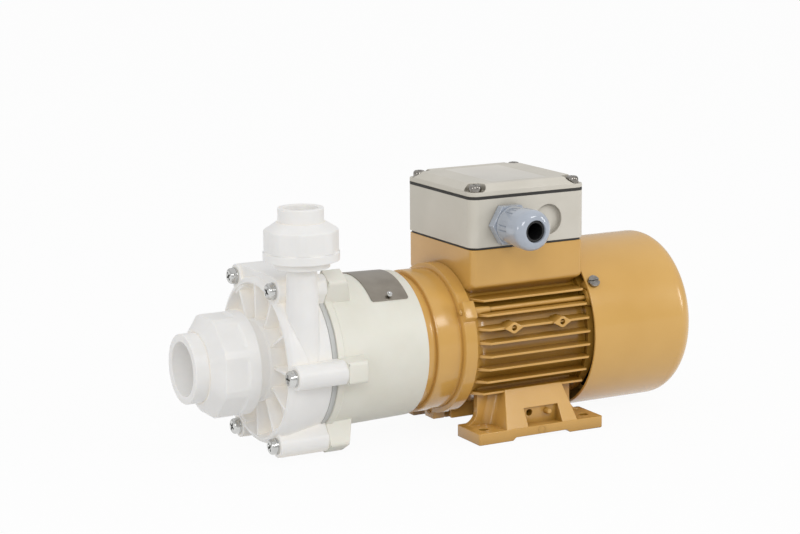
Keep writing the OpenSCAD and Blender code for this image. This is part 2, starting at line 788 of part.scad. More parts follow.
// Closed impeller with backward-curved vanes on the capsule that holds the inner magnet
module impeller() color("#d9d8d2") let (neck = rotor_capsule_r - 2, x_tip = x_disc - tip_width)
    difference() {
        union() {
            revolve_x([[0, x_disc], [tip_r, x_disc], [tip_r, x_back], [neck, x_back], [neck, capsule_x[0]],
                [rotor_capsule_r, capsule_x[0]], [rotor_capsule_r, capsule_x[1]], [0, capsule_x[1]]]);
            revolve_x([[0, x_disc - nose_l], [impeller_ri + 2.5, x_disc - nose_l],
                [impeller_ri + nose_l, x_disc + 1], [0, x_disc + 1]]);
            revolve_x([[eye_r, x_eye], [eye_r + 2, x_eye], [eye_r + 2, x_eye + eye_l / 2],
                [tip_r, x_tip - shroud_t], [tip_r, x_tip], [eye_r + 1, x_eye + eye_l],
                [eye_r, x_eye + eye_l]]);
            intersection() {
                on_axis(x_casing_rear - chamber_depth) linear_extrude(chamber_depth - 4)
                    for (i = [0 : vane_count - 1]) rotate(i * 360 / vane_count) vane();
                revolve_x([[0, x_disc + 1], [tip_r, x_disc + 1], [tip_r, x_tip - 1],
                    [eye_r + 1.5, x_eye + eye_l - 1], [0, x_eye + eye_l - 1]]);
            }
        }
        rod_x(impeller_ri, x_casing_rear - chamber_depth, capsule_x[1] + past);
        on_axis(capsule_x[0] + capsule_wall)
            ring(rotor_capsule_r - capsule_skin, rotor_capsule_r - capsule_skin - inner_magnet_t,
                capsule_x[1] - capsule_x[0] - 2 * capsule_wall);
    }

module impeller_bush() color("#3a3a3c") on_axis(x_spider + thrust_l + bush_end_gap)
    ring(bush_r, pump_shaft_d / 2 + run_gap, x_can_boss - x_spider - 2 * (thrust_l + bush_end_gap));

module inner_magnet() color("#5a5a60") on_axis(capsule_x[0] + capsule_wall + fit_gap)
    ring(rotor_capsule_r - capsule_skin - fit_gap, rotor_capsule_r - capsule_skin - inner_magnet_t + fit_gap,
        capsule_x[1] - capsule_x[0] - 2 * (capsule_wall + fit_gap));

// One lug of the lantern: a boss for the screw insert, slanting back to the tube as a gusset
module lantern_lug() intersection() {
    union() {
        translate([x_lantern_front, -screw_circle_r, 0]) rotate([0, 90, 0])
            cylinder(r = boss_r, h = lantern_gusset_l);
        translate([x_lantern_front, -screw_circle_r, -lug_web / 2])
            cube([lantern_gusset_l + past, screw_circle_r - lantern_ri - 1, lug_web]);
    }
    translate([x_lantern_front, 0, -boss_r - past]) linear_extrude(2 * (boss_r + past)) polygon([
        [0, -lug_tip_r - past], [lantern_lug_l, -lug_tip_r], [lantern_gusset_l, -lantern_front_d / 2],
        [lantern_gusset_l, -lantern_ri], [0, -lantern_ri]]);
}

// Bracket between pump and motor: a slightly tapered tube with a lugged flange and a bolted rear wall
module lantern() color(CREAM) difference() {
    union() {
        revolve_x([[0, x_lantern_front], [lantern_flange_d / 2 - chamfer, x_lantern_front],
            [lantern_flange_d / 2, x_lantern_front + chamfer], [lantern_flange_d / 2, x_lantern_step - 1],
            [lantern_front_d / 2, x_lantern_step], [lantern_rear_d / 2, x_flange - 1],
            [lantern_rear_d / 2 - 1, x_flange], [0, x_flange]]);
        for (a = screw_angles) spoke(a) lantern_lug();
    }
    rod_x(lantern_ri, x_lantern_front - past, x_flange - lantern_rear_t);
    rod_x(spigot_d / 2 + fit_gap, x_flange - lantern_rear_t - past, x_flange + past);
    for (a = screw_angles) around(a, screw_circle_r, x_lantern_front - past)
        cylinder(r = insert_r + fit_gap, h = lantern_gusset_l + 2 * past);
    for (a = flange_angles) around(a, flange_pcd / 2, x_flange - lantern_rear_t - past)
        cylinder(r = flange_bolt_d / 2 + thread_gap, h = lantern_rear_t + 2 * past);
}

module lantern_inserts() color(BRASS) for (a = screw_angles)
    around(a, screw_circle_r, x_lantern_front + 1) ring(insert_r, screw_d / 2 + fit_gap, insert_l);

module lantern_bolts() color(STEEL) for (a = flange_angles)
    around(a, flange_pcd / 2, x_flange - lantern_rear_t) rotate([180, 0, 0])
        pan_screw(flange_bolt_d, lantern_rear_t + flange_thread_l - 1, flange_head_r, flange_head_h);

function lantern_r(x) = lantern_front_d / 2 + (lantern_rear_d - lantern_front_d) / 2
    * (x - x_lantern_step) / (x_flange - 1 - x_lantern_step);

// Bare rating plate, bent round the top of the lantern and held by two domed rivets
module name_plate() color("#8b857c") sector_x([
    [lantern_r(plate_x[0]) + fit_gap, plate_x[0]], [lantern_r(plate_x[0]) + plate_t, plate_x[0]],
    [lantern_r(plate_x[1]) + plate_t, plate_x[1]], [lantern_r(plate_x[1]) + fit_gap, plate_x[1]]],
    plate_angles[0], plate_angles[1]);

module plate_rivets() color(STEEL)
    let (x = (plate_x[0] + plate_x[1]) / 2, r = lantern_r(x) + plate_t + 0.1)
    for (a = rivet_angles) spoke(a) translate([x, -r, 0]) rotate([90, 0, 0])
        rotate_extrude() polygon(concat([[0, 0]], arc(0, -1, rivet_r, 32, 90, 5)));

// Steel cup on the motor shaft that carries the drive magnets round the can
module outer_magnet_carrier() color("#8f9398") difference() {
    revolve_x([[shaft_end_d / 2 + fit_gap, x_carrier_plate], [shaft_end_d / 2 + fit_gap, x_carrier_rear],
        [carrier_hub_r, x_carrier_rear], [carrier_hub_r, x_carrier_plate + carrier_plate_t],
        [carrier_ro, x_carrier_plate + carrier_plate_t], [carrier_ro, x_cup_front],
        [carrier_ri, x_cup_front], [carrier_ri, x_carrier_plate]]);
    translate([key_x0 - fit_gap, -key_w / 2 - fit_gap, shaft_h])
        cube([x_carrier_rear - key_x0 + past, key_w + 2 * fit_gap, key_base + key_w + fit_gap]);
    translate([key_x0 + key_l / 2, 0, shaft_h - carrier_hub_r - past])
        cylinder(r = set_screw_r + fit_gap, h = carrier_hub_r);
}

module drive_magnets() color("#4a4d52") for (i = [0 : magnet_count - 1])
    let (a = i * 360 / magnet_count, ri = carrier_ri - magnet_t, ro = carrier_ri - fit_gap,
        x0 = x_cup_front + magnet_margin, x1 = x_carrier_plate - magnet_margin)
    sector_x([[ri, x0], [ro, x0], [ro, x1], [ri, x1]], a, a + magnet_fill / magnet_count);

module carrier_set_screw() color(BLACK) translate([key_x0 + key_l / 2, 0, shaft_h - carrier_hub_r])
    cylinder(r = set_screw_r, h = carrier_hub_r - shaft_end_d / 2 - fit_gap);

module ear() polygon([[-ear_root, -ear_w / 2], [-ear_root, ear_w / 2], [-ear_top + ear_chamfer, ear_w / 2],
    [-ear_top, ear_w / 2 - ear_chamfer], [-ear_top, -ear_w / 2 + ear_chamfer],
    [-ear_top + ear_chamfer, -ear_w / 2]]);

// Flanged end shield: stepped rims outside, a bearing seat inside and three ears for the tie bolts
module front_end_shield() color(OCHRE) let (
        inner = x_flange + shield_wall, hub = bearing_od / 2 + hub_wall,
        x_hub = x_front_bearing + bearing_w + 1,
        cavity = stator_d / 2 - register_t, register = stator_d / 2 - thread_gap,
        x_collar = x_shield_rear - collar_l, x_step = x_flange + rim_l + groove)
    difference() {
        union() {
            revolve_x([[0, x_flange - spigot_h], [spigot_d / 2 - thread_gap, x_flange - spigot_h],
                [spigot_d / 2 - thread_gap, x_flange], [flange_d / 2 - chamfer, x_flange],
                [flange_d / 2, x_flange + chamfer], [flange_d / 2, x_flange + rim_l],
                [flange_d / 2 - groove, x_flange + rim_l], [flange_d / 2 - groove, x_step],
                [shield_d / 2 - chamfer, x_step], [shield_d / 2, x_step + chamfer],
                [shield_d / 2, x_collar - groove], [shield_d / 2 - groove, x_collar - groove],
                [shield_d / 2 - groove, x_collar], [collar_d / 2 - groove, x_collar],
                [collar_d / 2, x_collar + groove], [collar_d / 2, x_shield_rear], [register, x_shield_rear],
                [register, x_shield_rear + register_l], [0, x_shield_rear + register_l]]);
            for (a = tie_angles) spoke(a) slab_x(x_shield_rear - ear_l, x_shield_rear) ear();
        }
        revolve_x([[hub, inner], [cavity, inner], [cavity, x_shield_rear + register_l + past],
            [0, x_shield_rear + register_l + past], [0, x_hub], [hub, x_hub]]);
        rod_x(bearing_od / 2 + fit_gap, x_front_bearing, x_shield_rear);
        rod_x(bearing_id / 2 + thread_gap, x_flange - spigot_h - past, x_front_bearing + past);
        for (a = tie_angles) around(a, tie_r, x_shield_rear - ear_l - past)
            cylinder(r = tie_d / 2 + fit_gap, h = ear_l + 2 * past);
        for (a = flange_angles) around(a, flange_pcd / 2, x_flange - past)
            cylinder(r = flange_bolt_d / 2 + fit_gap, h = flange_thread_l + past);
    }

module bearing_ring(x, ro, ri) difference() {
    on_axis(x) ring(ro, ri, bearing_w);
    on_axis(x + bearing_w / 2) torus(ball_circle_r, ball_r + fit_gap);
}

module bearing_outer_rings() color(STEEL) for (x = [x_front_bearing, x_rear_bearing])
    bearing_ring(x, bearing_od / 2, bearing_od / 2 - ring_t);

module bearing_inner_rings() color(STEEL) for (x = [x_front_bearing, x_rear_bearing])
    bearing_ring(x, bearing_id / 2 + ring_t, bearing_id / 2 + fit_gap);

module bearing_balls() color(STEEL) for (x = [x_front_bearing, x_rear_bearing], i = [1 : ball_count])
    around(i * 360 / ball_count, ball_circle_r, x + bearing_w / 2) sphere(ball_r);

module wave_washer() color("#a9a49a") on_axis(x_rear_bearing + bearing_w + fit_gap)
    ring(bearing_od / 2 - 0.2, bearing_od / 2 - 3, washer_l);

// Parallel cooling fins on both sides and below, bevelled at the front
module fins() let (tip = fin_tip_d / 2, x0 = x_shield_rear + fin_front_gap,
        x1 = x_housing_rear - fin_rear_gap)
    intersection() {
        revolve_x([[0, x0], [body_d / 2 + 0.5, x0], [tip, x0 + fin_bevel], [tip, x1], [0, x1]]);
        union() {
            for (i = [0 : side_fins - 1]) translate([x0, -tip, z_bottom_fin + i * fin_pitch - fin_t / 2])
                cube([x1 - x0, 2 * tip, fin_t]);
            for (i = [0 : bottom_fins - 1])
                translate([x0, (i - (bottom_fins - 1) / 2) * fin_pitch - fin_t / 2, shaft_h - tip])
                    cube([x1 - x0, fin_t, fin_h + 5]);
        }
    }

// Cast box seat over the barrel, its underside running back into the top fin
module pedestal() let (w = pedestal_w / 2, z = shaft_h + pedestal_skirt) intersection() {
    slab_x(box_x - pedestal_l / 2, box_x + pedestal_l / 2) polygon([[-w, z_pedestal], [-w, z],
        [-w + 3.5, z - 7], [-w + 9, z - 14], [w - 9, z - 14], [w - 3.5, z - 7], [w, z], [w, z_pedestal]]);
    translate([box_x, 0, shaft_h]) linear_extrude(pedestal_h)
        rounded_rect(pedestal_l, pedestal_w, box_corner_r);
}

// Foot plate, its end wall under the barrel and the sloping block in the middle
module foot() {
    translate([0, foot_w / 2 - foot_edge, 0]) linear_extrude(foot_t)
        rounded_rect(foot_l, foot_w, foot_corner_r);
    slab_y(foot_wall_y, foot_wall_y + foot_wall_t) polygon([[foot_corner_r - foot_l / 2, foot_t - 1],
        [foot_corner_r - foot_l / 2, foot_t], [foot_wall_x[0], foot_t + foot_flare],
        [foot_wall_x[0], z_foot_root], [foot_wall_x[1], z_foot_root],
        [foot_wall_x[1], foot_t + foot_flare], [foot_l / 2 - foot_corner_r, foot_t],
        [foot_l / 2 - foot_corner_r, foot_t - 1]]);
    intersection() {
        slab_x(-block_x[0], block_x[0]) polygon([
            [chamfer - foot_edge, foot_t - 1], [chamfer - foot_edge, foot_t],
            [-block_y, z_bottom_fin], [6 - body_d / 2, z_foot_root],
            [foot_w - 2 - foot_edge, z_foot_root], [foot_w - 2 - foot_edge, foot_t - 1]]);
        slab_y(-foot_edge, 0) polygon([[-block_x[0], 0], [-block_x[0], foot_t], [-block_x[1], z_bottom_fin],
            [-block_x[1], z_foot_root], [block_x[1], z_foot_root], [block_x[1], z_bottom_fin],
            [block_x[0], foot_t], [block_x[0], 0]]);
    }
}

// Earth terminal pocket in the near foot block, with a cast peg that stops a cable lug from turning
module earth_pocket() translate(pocket) {
    translate([-pocket_l / 2, -20, -pocket_h / 2]) cube([pocket_l, 20, pocket_h]);
    translate(earth_hole_at) translate([0, -past, 0]) rotate([-90, 0, 0])
        cylinder(r = earth_hole_r, h = earth_hole_l + past);
}

module earth_peg() translate(pocket) translate(earth_peg_at) rotate([90, 0, 0])
    cylinder(r1 = 2, r2 = 1.5, h = 4.5);

// Diamond boss on a side fin, tapped for accessories
module side_boss(x) translate([x, 0, side_boss_z]) slab_y(-fin_tip_d / 2, 5 - body_d / 2)
    polygon([[-side_boss_l / 2, 0], [0, side_boss_h / 2], [side_boss_l / 2, 0], [0, -side_boss_h / 2]]);

// Die-cast housing: barrel, fins, feet and terminal box pedestal in one casting
module motor_housing() color(OCHRE) {
    difference() {
        union() {
            rod_x(body_d / 2, x_shield_rear, x_housing_rear);
            fins();
            pedestal();
            for (a = tie_angles) around(a, tie_r, x_shield_rear) cylinder(r = tie_boss_r, h = tie_boss_l);
            for (m = [0, 1]) mirror([0, m, 0]) {
                foot();
                for (x = side_boss_x) side_boss(x);
            }
        }
        rod_x(stator_d / 2 + fit_gap, x_shield_rear - past, x_housing_rear + past);
        for (a = tie_angles) around(a, tie_r, x_shield_rear - past)
            cylinder(r = tie_d / 2 + thread_gap, h = housing_len + 2 * past);
        translate([box_x, 0, shaft_h]) cylinder(r = wire_hole_d / 2, h = pedestal_h + past);
        box_screw_places() translate([0, 0, z_pedestal - box_thread_l])
            cylinder(r = box_screw_d / 2 + fit_gap, h = box_thread_l + past);
        for (m = [0, 1]) mirror([0, m, 0]) {
            for (x = [-1, 1]) translate([x * foot_pitch_x / 2, -foot_pitch_y / 2, -past])
                cylinder(r = foot_hole_d / 2, h = foot_t + 2 * past);
            translate([-relief_l / 2, -foot_edge - past, -past])
                cube([relief_l, foot_w + 2 * past, foot_relief + past]);
            for (x = side_boss_x) translate([x, -fin_tip_d / 2 - past, side_boss_z]) rotate([-90, 0, 0])
                cylinder(r = side_hole_r, h = side_hole_l + past);
        }
        earth_pocket();
    }
    earth_peg();
}

module stator_core() color("#77797d") on_axis(x_middle - stack_len / 2) difference() {
    ring(stator_d / 2, rotor_d / 2 + air_gap, stack_len);
    for (i = [1 : slot_count]) rotate(i * 360 / slot_count)
        translate([rotor_d / 2 + tooth_tip, -slot_w / 2, -past]) cube([slot_l, slot_w, stack_len + 2 * past]);
}

module stator_windings() color("#b4622d")
    for (x = [x_middle - stack_len / 2 - winding_overhang, x_middle + stack_len / 2])
        on_axis(x) ring(winding_r + winding_t / 2, winding_r - winding_t / 2, winding_overhang);

module rotor_core() color("#8a8c90") on_axis(x_middle - stack_len / 2 - end_ring_l)
    ring(rotor_d / 2, shaft_d / 2 + fit_gap, stack_len + 2 * end_ring_l);

module motor_shaft() color(STEEL) let (re = shaft_end_d / 2, rb = bearing_id / 2, rf = fan_shaft_d / 2,
        x_seat = x_front_bearing + bearing_w, x_fan_seat = x_hub_rear + 1,
        x_clip_end = x_fan_clip + clip_t + 2 * fit_gap)
    difference() {
        revolve_x([[0, x_shaft_front], [re - chamfer, x_shaft_front], [re, x_shaft_front + chamfer],
            [re, x_flange], [rb, x_flange], [rb, x_seat], [shaft_d / 2, x_seat],
            [shaft_d / 2, x_rear_bearing], [rb, x_rear_bearing], [rb, x_fan_seat], [rf, x_fan_seat],
            [rf, x_fan_clip], [rf - clip_depth, x_fan_clip], [rf - clip_depth, x_clip_end],
            [rf, x_clip_end], [rf, x_shaft_rear], [0, x_shaft_rear]]);
        translate([key_x0 - fit_gap, -key_w / 2 - fit_gap, shaft_h + key_base - fit_gap])
            cube([key_l + 2 * fit_gap, key_w + 2 * fit_gap, key_w]);
    }

module shaft_key() color("#9a9da0")
    translate([key_x0, -key_w / 2, shaft_h + key_base]) cube([key_l, key_w, key_w]);

// Children drawn along +Z point out of the cowl at the place of a cowl screw
module cowl_screw_places(r) for (a = cowl_angles) spoke(a)
    translate([x_cowl_screw, -r, 0]) rotate([90, 0, 0]) children();

// Rear end shield: a ring on the housing, a closed bearing hub and pads that carry the cowl
module rear_end_shield() color(OCHRE) let (hub = bearing_od / 2 + hub_wall, rim = body_d / 2 + 1,
        seat = bearing_od / 2 + fit_gap, register = stator_d / 2 - thread_gap,
        inner = stator_d / 2 - register_t, x0 = x_housing_rear, x1 = x_housing_rear + rear_plate_t)
    difference() {
        union() {
            revolve_x([[inner, x0 - register_l], [register, x0 - register_l], [register, x0], [rim, x0],
                [rim, x1], [hub, x1], [hub, x_hub_rear], [bearing_id / 2 + 1, x_hub_rear],
                [bearing_id / 2 + 1, x_rear_lip], [seat, x_rear_lip], [seat, x0], [inner, x0]]);
            for (a = tie_angles) spoke(a) slab_x(x0, x1) ear();
            cowl_screw_places(ear_root)
                cylinder(r = pad_r, h = cowl_d / 2 - cowl_t - thread_gap - ear_root);
        }
        for (a = tie_angles) around(a, tie_r, x0 - past)
            cylinder(r = tie_d / 2 + thread_gap, h = rear_plate_t + 12);
        for (a = tie_angles) around(a, tie_r, x_tie_head) cylinder(r = tie_head_r + thread_gap, h = 12);
        cowl_screw_places(cowl_d / 2 - cowl_screw_l - 2)
            cylinder(r = cowl_screw_d / 2 + fit_gap, h = cowl_screw_l + 4);
    }

module tie_bolts() color(STEEL) for (a = tie_angles) around(a, tie_r, x_tie_head)
    pan_screw(tie_d, x_tie_head - x_shield_rear + ear_l + tie_end, tie_head_r, tie_d * 0.65);

module fan() color("#46494d") difference() {
    union() {
        rod_x(fan_hub_r, x_fan, x_fan + fan_hub_l);
        rod_x(fan_d / 2, x_fan, x_fan + fan_disc_t);
        for (i = [1 : fan_blades]) spoke(i * 360 / fan_blades)
            translate([x_fan, 0.5 - fan_d / 2, -fan_blade_t / 2])
                cube([fan_disc_t + fan_blade_w, fan_d / 2 - fan_hub_r + 0.5, fan_blade_t]);
    }
    rod_x(fan_shaft_d / 2 + fit_gap, x_fan - past, x_fan + fan_hub_l + past);
}

module fan_clip() color(BLACK) on_axis(x_fan_clip + fit_gap) difference() {
    ring(fan_shaft_d / 2 + clip_w, fan_shaft_d / 2 - clip_depth + fit_gap, clip_t);
    translate([0, -clip_mouth / 2, -past]) cube([fan_shaft_d, clip_mouth, clip_t + 2 * past]);
}

// Deep-drawn cowl with a round rear edge and slotted rings in its end for the cooling air
module fan_cowl() color(OCHRE) let (ro = cowl_d / 2, ri = cowl_d / 2 - cowl_t, e = cowl_edge_r,
        x1 = x_cowl_rear)
    difference() {
        revolve_x(concat([[ri, x_cowl_front], [ro, x_cowl_front]], arc(ro - e, x1 - e, e, 0, 90),
            [[0, x1], [0, x1 - cowl_t]], arc(ro - e, x1 - e, e - cowl_t, 90, 0)));
        difference() {
            for (r = [grille_r : grille_pitch : ro - e - grille_margin])
                on_axis(x1 - cowl_t - past) ring(r + grille_slot, r, cowl_t + 2 * past);
            for (i = [1 : grille_bars]) spoke(i * 360 / grille_bars)
                translate([x1 - cowl_t - 2 * past, -ro, -grille_bar_w / 2])
                    cube([cowl_t + 4 * past, ro, grille_bar_w]);
        }
        cowl_screw_places(ri - past) cylinder(r = cowl_screw_d / 2 + thread_gap, h = cowl_t + 2 * past);
    }

module cowl_screws() color(STEEL) cowl_screw_places(cowl_d / 2 + 0.1) difference() {
    union() {
        cylinder(r = cowl_head_r, h = cowl_head_h);
        translate([0, 0, -cowl_screw_l]) cylinder(r = cowl_screw_d / 2, h = cowl_screw_l + 0.1);
    }
    translate([-cowl_head_r - past, -cowl_slot_w / 2, cowl_head_h / 2])
        cube([2 * (cowl_head_r + past), cowl_slot_w, cowl_head_h]);
}

module box_screw_places() for (x = [-1, 1], y = [-1, 1])
    translate([box_x + x * (box_l / 2 - box_screw_inset[0]), y * (box_w / 2 - box_screw_inset[1]), 0])
        children();

module lid_screw_places() for (x = [-1, 1], y = [-1, 1])
    translate([box_x + x * (box_l / 2 - lid_inset), y * (box_w / 2 - lid_inset), 0]) children();

// Outline of the box walls, or of the room inside them
module box_outline() translate([box_x, 0, 0]) rounded_rect(box_l, box_w, box_corner_r);

module box_room() translate([box_x, 0, 0])
    rounded_rect(box_l - 2 * box_wall, box_w - 2 * box_wall, box_inner_r);

module pedestal_gasket() color(BLACK) difference() {
    translate([box_x, 0, z_pedestal]) linear_extrude(base_gasket_t)
        rounded_rect(pedestal_l, pedestal_w, box_corner_r);
    translate([box_x, 0, z_pedestal - past]) cylinder(r = wire_hole_d / 2, h = base_gasket_t + 2 * past);
    box_screw_places() translate([0, 0, z_pedestal - past])
        cylinder(r = box_screw_d / 2 + thread_gap, h = base_gasket_t + 2 * past);
}

// Moulded box with corner pillars, a threaded gland hole and a knock-out beside it
module terminal_box() color(BOX_GREY) difference() {
    translate([0, 0, z_box]) linear_extrude(box_h) box_outline();
    difference() {
        translate([0, 0, z_box + box_floor_t]) linear_extrude(box_h) box_room();
        lid_screw_places() translate([0, 0, z_box]) cylinder(r = pillar_r, h = box_h + past);
    }
    lid_screw_places() translate([0, 0, z_lid_gasket - lid_thread_l])
        cylinder(r = lid_screw_d / 2 + fit_gap, h = lid_thread_l + past);
    box_screw_places() translate([0, 0, z_box - past])
        cylinder(r = box_screw_d / 2 + thread_gap, h = box_floor_t + 2 * past);
    translate([box_x, 0, z_box - past]) cylinder(r = wire_hole_d / 2, h = box_floor_t + 2 * past);
    translate([x_gland, y_box - past, z_gland]) rotate([-90, 0, 0])
        cylinder(r = gland_d / 2 + fit_gap, h = box_wall + 2 * past);
    translate([x_knockout, y_box - past, z_gland]) rotate([-90, 0, 0]) {
        cylinder(r = knockout_r - knockout_taper / 2, h = past + knockout_depth);
        cylinder(r1 = knockout_r + knockout_taper / 2, r2 = knockout_r - knockout_taper / 2, h = past + 0.8);
    }
}

module box_screws() color(STEEL) box_screw_places() translate([0, 0, z_box + box_floor_t])
    pan_screw(box_screw_d, box_floor_t + base_gasket_t + box_thread_l - 2, box_screw_d * 0.9,
        box_screw_d * 0.65);

// Terminal block on the box floor, behind the wire passage
module terminal_block() color("#26272a") translate([box_x, y_block, z_block]) difference() {
    translate([-block_l / 2, 0, 0]) cube([block_l, block_w, block_h]);
    for (i = [-1 : 1]) translate([i * stud_pitch, block_w / 2, stud_seat])
        cylinder(r = stud_r + fit_gap, h = block_h);
}

module terminal_studs() color(BRASS) for (i = [-1 : 1])
    translate([box_x + i * stud_pitch, y_block + block_w / 2, z_block + stud_seat + fit_gap]) {
        cylinder(r = stud_r, h = stud_l);
        translate([0, 0, block_h - stud_seat]) cylinder(r = 2 * stud_r, h = 3.2, $fn = 6);
    }

module lid_gasket() color(BLACK) difference() {
    translate([0, 0, z_lid_gasket]) linear_extrude(lid_gasket_t) box_outline();
    difference() {
        translate([0, 0, z_lid_gasket - past]) linear_extrude(lid_gasket_t + 2 * past) box_room();
        lid_screw_places() translate([0, 0, z_lid_gasket - 2 * past])
            cylinder(r = pillar_r, h = lid_gasket_t + 4 * past);
    }
    lid_screw_places() translate([0, 0, z_lid_gasket - past])
        cylinder(r = lid_screw_d / 2 + thread_gap, h = lid_gasket_t + 2 * past);
}

// Lid with a raised panel on sloping sides and a scooped pocket for the screw in each corner
module lid_roof(middle, half) let (out = half + lid_slope, top = half - lid_slope,
        z1 = z_lid_rim - lid_rise, z0 = min(z_lid, z1) - past)
    polygon([[middle - out, z0], [middle - out, z1], [middle - top, z_lid_top], [middle + top, z_lid_top],
        [middle + out, z1], [middle + out, z0]]);

module terminal_box_lid() color(BOX_GREY) let (l = box_l / 2, w = box_w / 2) difference() {
    intersection() {
        slab_y(-w - past, w + past) lid_roof(box_x, l);
        slab_x(box_x - l - past, box_x + l + past) lid_roof(0, w);
        translate([0, 0, z_lid]) linear_extrude(lid_rim_h + lid_rise + past) box_outline();
    }
    translate([box_x, 0, z_lid - past]) linear_extrude(lid_rim_h)
        rounded_rect(box_l - 2 * lid_skirt, box_w - 2 * lid_skirt, box_inner_r);
    lid_screw_places() {
        translate([0, 0, lid_pocket_z]) cylinder(r = lid_pocket_r, h = lid_rise + 2 * past);
        translate([0, 0, z_lid - past]) cylinder(r = lid_screw_d / 2 + thread_gap, h = lid_rim_h + 2 * past);
    }
}

module lid_screws() color(STEEL) lid_screw_places() translate([0, 0, lid_pocket_z])
    pan_screw(lid_screw_d, lid_rim_h + lid_gasket_t + lid_thread_l - 4, lid_screw_d * 0.95,
        lid_screw_d * 0.72);

// Places a piece of the gland, whose own axis is +Z, pointing out of the near wall
module at_gland() translate([x_gland, y_box, z_gland]) rotate([90, 0, 0]) children();

// Threaded tube through the box wall with a hexagon outside and a seat for the seal
module gland_body() color(GLAND_GREY) at_gland() let (inside = box_wall + 4) difference() {
    union() {
        translate([0, 0, -inside]) cylinder(r = gland_d / 2, h = inside + gland_hex_t + gland_thread_l);
        cylinder(r = gland_af / 2 / cos(30), h = gland_hex_t, $fn = 6);
    }
    translate([0, 0, -inside - past])
        cylinder(r = gland_hole_d / 2, h = inside + gland_hex_t + gland_thread_l + 2 * past);
    translate([0, 0, gland_seat]) cylinder(r = gland_hole_d / 2 + gland_seal_t, h = gland_thread_l + past);
}

// Rubber sleeve, its narrow nose showing in the mouth of the nut
module gland_seal() color("#141416") at_gland() let (hole = gland_hole_d / 2 - gland_squeeze,
        r = gland_hole_d / 2 + gland_seal_t - fit_gap, nose = gland_hole_d / 2 - thread_gap,
        z0 = gland_seat, z1 = gland_seat + gland_seal_l, z2 = gland_hex_t + gland_gap + gland_nut_l - 1)
    rotate_extrude() polygon([[hole, z0], [r, z0], [r, z1], [nose, z1], [nose, z2], [hole, z2]]);

// Domed clamping nut that squeezes the seal on the cable
module gland_nut() color(GLAND_GREY) let (r = gland_nut_d / 2, barrel = gland_nut_d / 2 - 0.4,
        z0 = gland_hex_t + gland_gap, z1 = gland_hex_t + gland_gap + gland_nut_l, hole = gland_hole_d / 2)
    at_gland() difference() {
        rotate_extrude() polygon(concat([[hole, z0], [barrel - chamfer, z0], [barrel, z0 + chamfer],
            [barrel, z1 - gland_dome_l - 1], [r, z1 - gland_dome_l]],
            arc(r - gland_dome_r, z1 - gland_dome_l / 2, gland_dome_r, 0, 60, 6),
            [[hole + 1.2, z1], [hole + 0.2, z1 - chamfer], [hole, z1 - 2]]));
        translate([0, 0, z0 - past]) cylinder(r = gland_d / 2 + thread_gap, h = gland_thread_l + 7);
    }

suction_tailpiece();
suction_union_nut();
suction_o_ring();
discharge_tailpiece();
discharge_union_nut();
discharge_o_ring();
pump_casing();
casing_screws();
casing_washers();
casing_o_ring();
containment_shell();
pump_shaft();
thrust_rings();
impeller();
impeller_bush();
inner_magnet();
lantern();
lantern_inserts();
lantern_bolts();
name_plate();
plate_rivets();
outer_magnet_carrier();
drive_magnets();
carrier_set_screw();
front_end_shield();
bearing_outer_rings();
bearing_inner_rings();
bearing_balls();
wave_washer();
motor_housing();
stator_core();
stator_windings();
rotor_core();
motor_shaft();
shaft_key();
rear_end_shield();
tie_bolts();
fan();
fan_clip();
fan_cowl();
cowl_screws();
pedestal_gasket();
terminal_box();
box_screws();
terminal_block();
terminal_studs();
lid_gasket();
terminal_box_lid();
lid_screws();
gland_body();
gland_seal();
gland_nut();
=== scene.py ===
"""Magnetic drive pump on a finned motor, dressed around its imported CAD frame. Sizes are in millimetres."""
import json
from math import cos, degrees, hypot, pi, radians, sin, sqrt, tau

import bmesh
import bpy
from mathutils import Matrix, Vector

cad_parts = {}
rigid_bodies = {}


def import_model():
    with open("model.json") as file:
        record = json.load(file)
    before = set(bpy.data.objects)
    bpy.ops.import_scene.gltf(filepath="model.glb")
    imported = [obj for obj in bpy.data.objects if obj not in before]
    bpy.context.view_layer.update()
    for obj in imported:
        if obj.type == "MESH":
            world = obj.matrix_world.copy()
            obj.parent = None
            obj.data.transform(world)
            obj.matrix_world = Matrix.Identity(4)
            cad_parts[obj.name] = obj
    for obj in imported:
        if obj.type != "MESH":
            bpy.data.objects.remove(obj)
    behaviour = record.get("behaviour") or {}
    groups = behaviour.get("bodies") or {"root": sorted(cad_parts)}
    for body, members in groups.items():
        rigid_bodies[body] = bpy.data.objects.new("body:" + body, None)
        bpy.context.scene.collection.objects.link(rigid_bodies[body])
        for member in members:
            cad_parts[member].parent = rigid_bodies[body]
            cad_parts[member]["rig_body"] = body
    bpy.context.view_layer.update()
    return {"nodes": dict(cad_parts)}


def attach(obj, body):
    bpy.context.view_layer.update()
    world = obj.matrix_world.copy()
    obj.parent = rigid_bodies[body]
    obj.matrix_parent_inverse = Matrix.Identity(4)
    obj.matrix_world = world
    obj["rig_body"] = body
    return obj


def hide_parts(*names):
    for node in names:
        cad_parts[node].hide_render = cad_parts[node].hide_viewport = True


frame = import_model()

# Studio
# A wide pale sweep under soft boxes: a pair of them at the front, a tall strip at the right and a small one
# at the far left, in a light room. Places here are in metres.
scene = bpy.context.scene
scene.view_settings.view_transform = "Standard"


def linear(code):
    """Linear colour of an sRGB hex code."""
    parts = [int(code[i:i + 2], 16) / 255 for i in (1, 3, 5)]
    return [p / 12.92 if p <= 0.04045 else ((p + 0.055) / 1.055) ** 2.4 for p in parts] + [1]


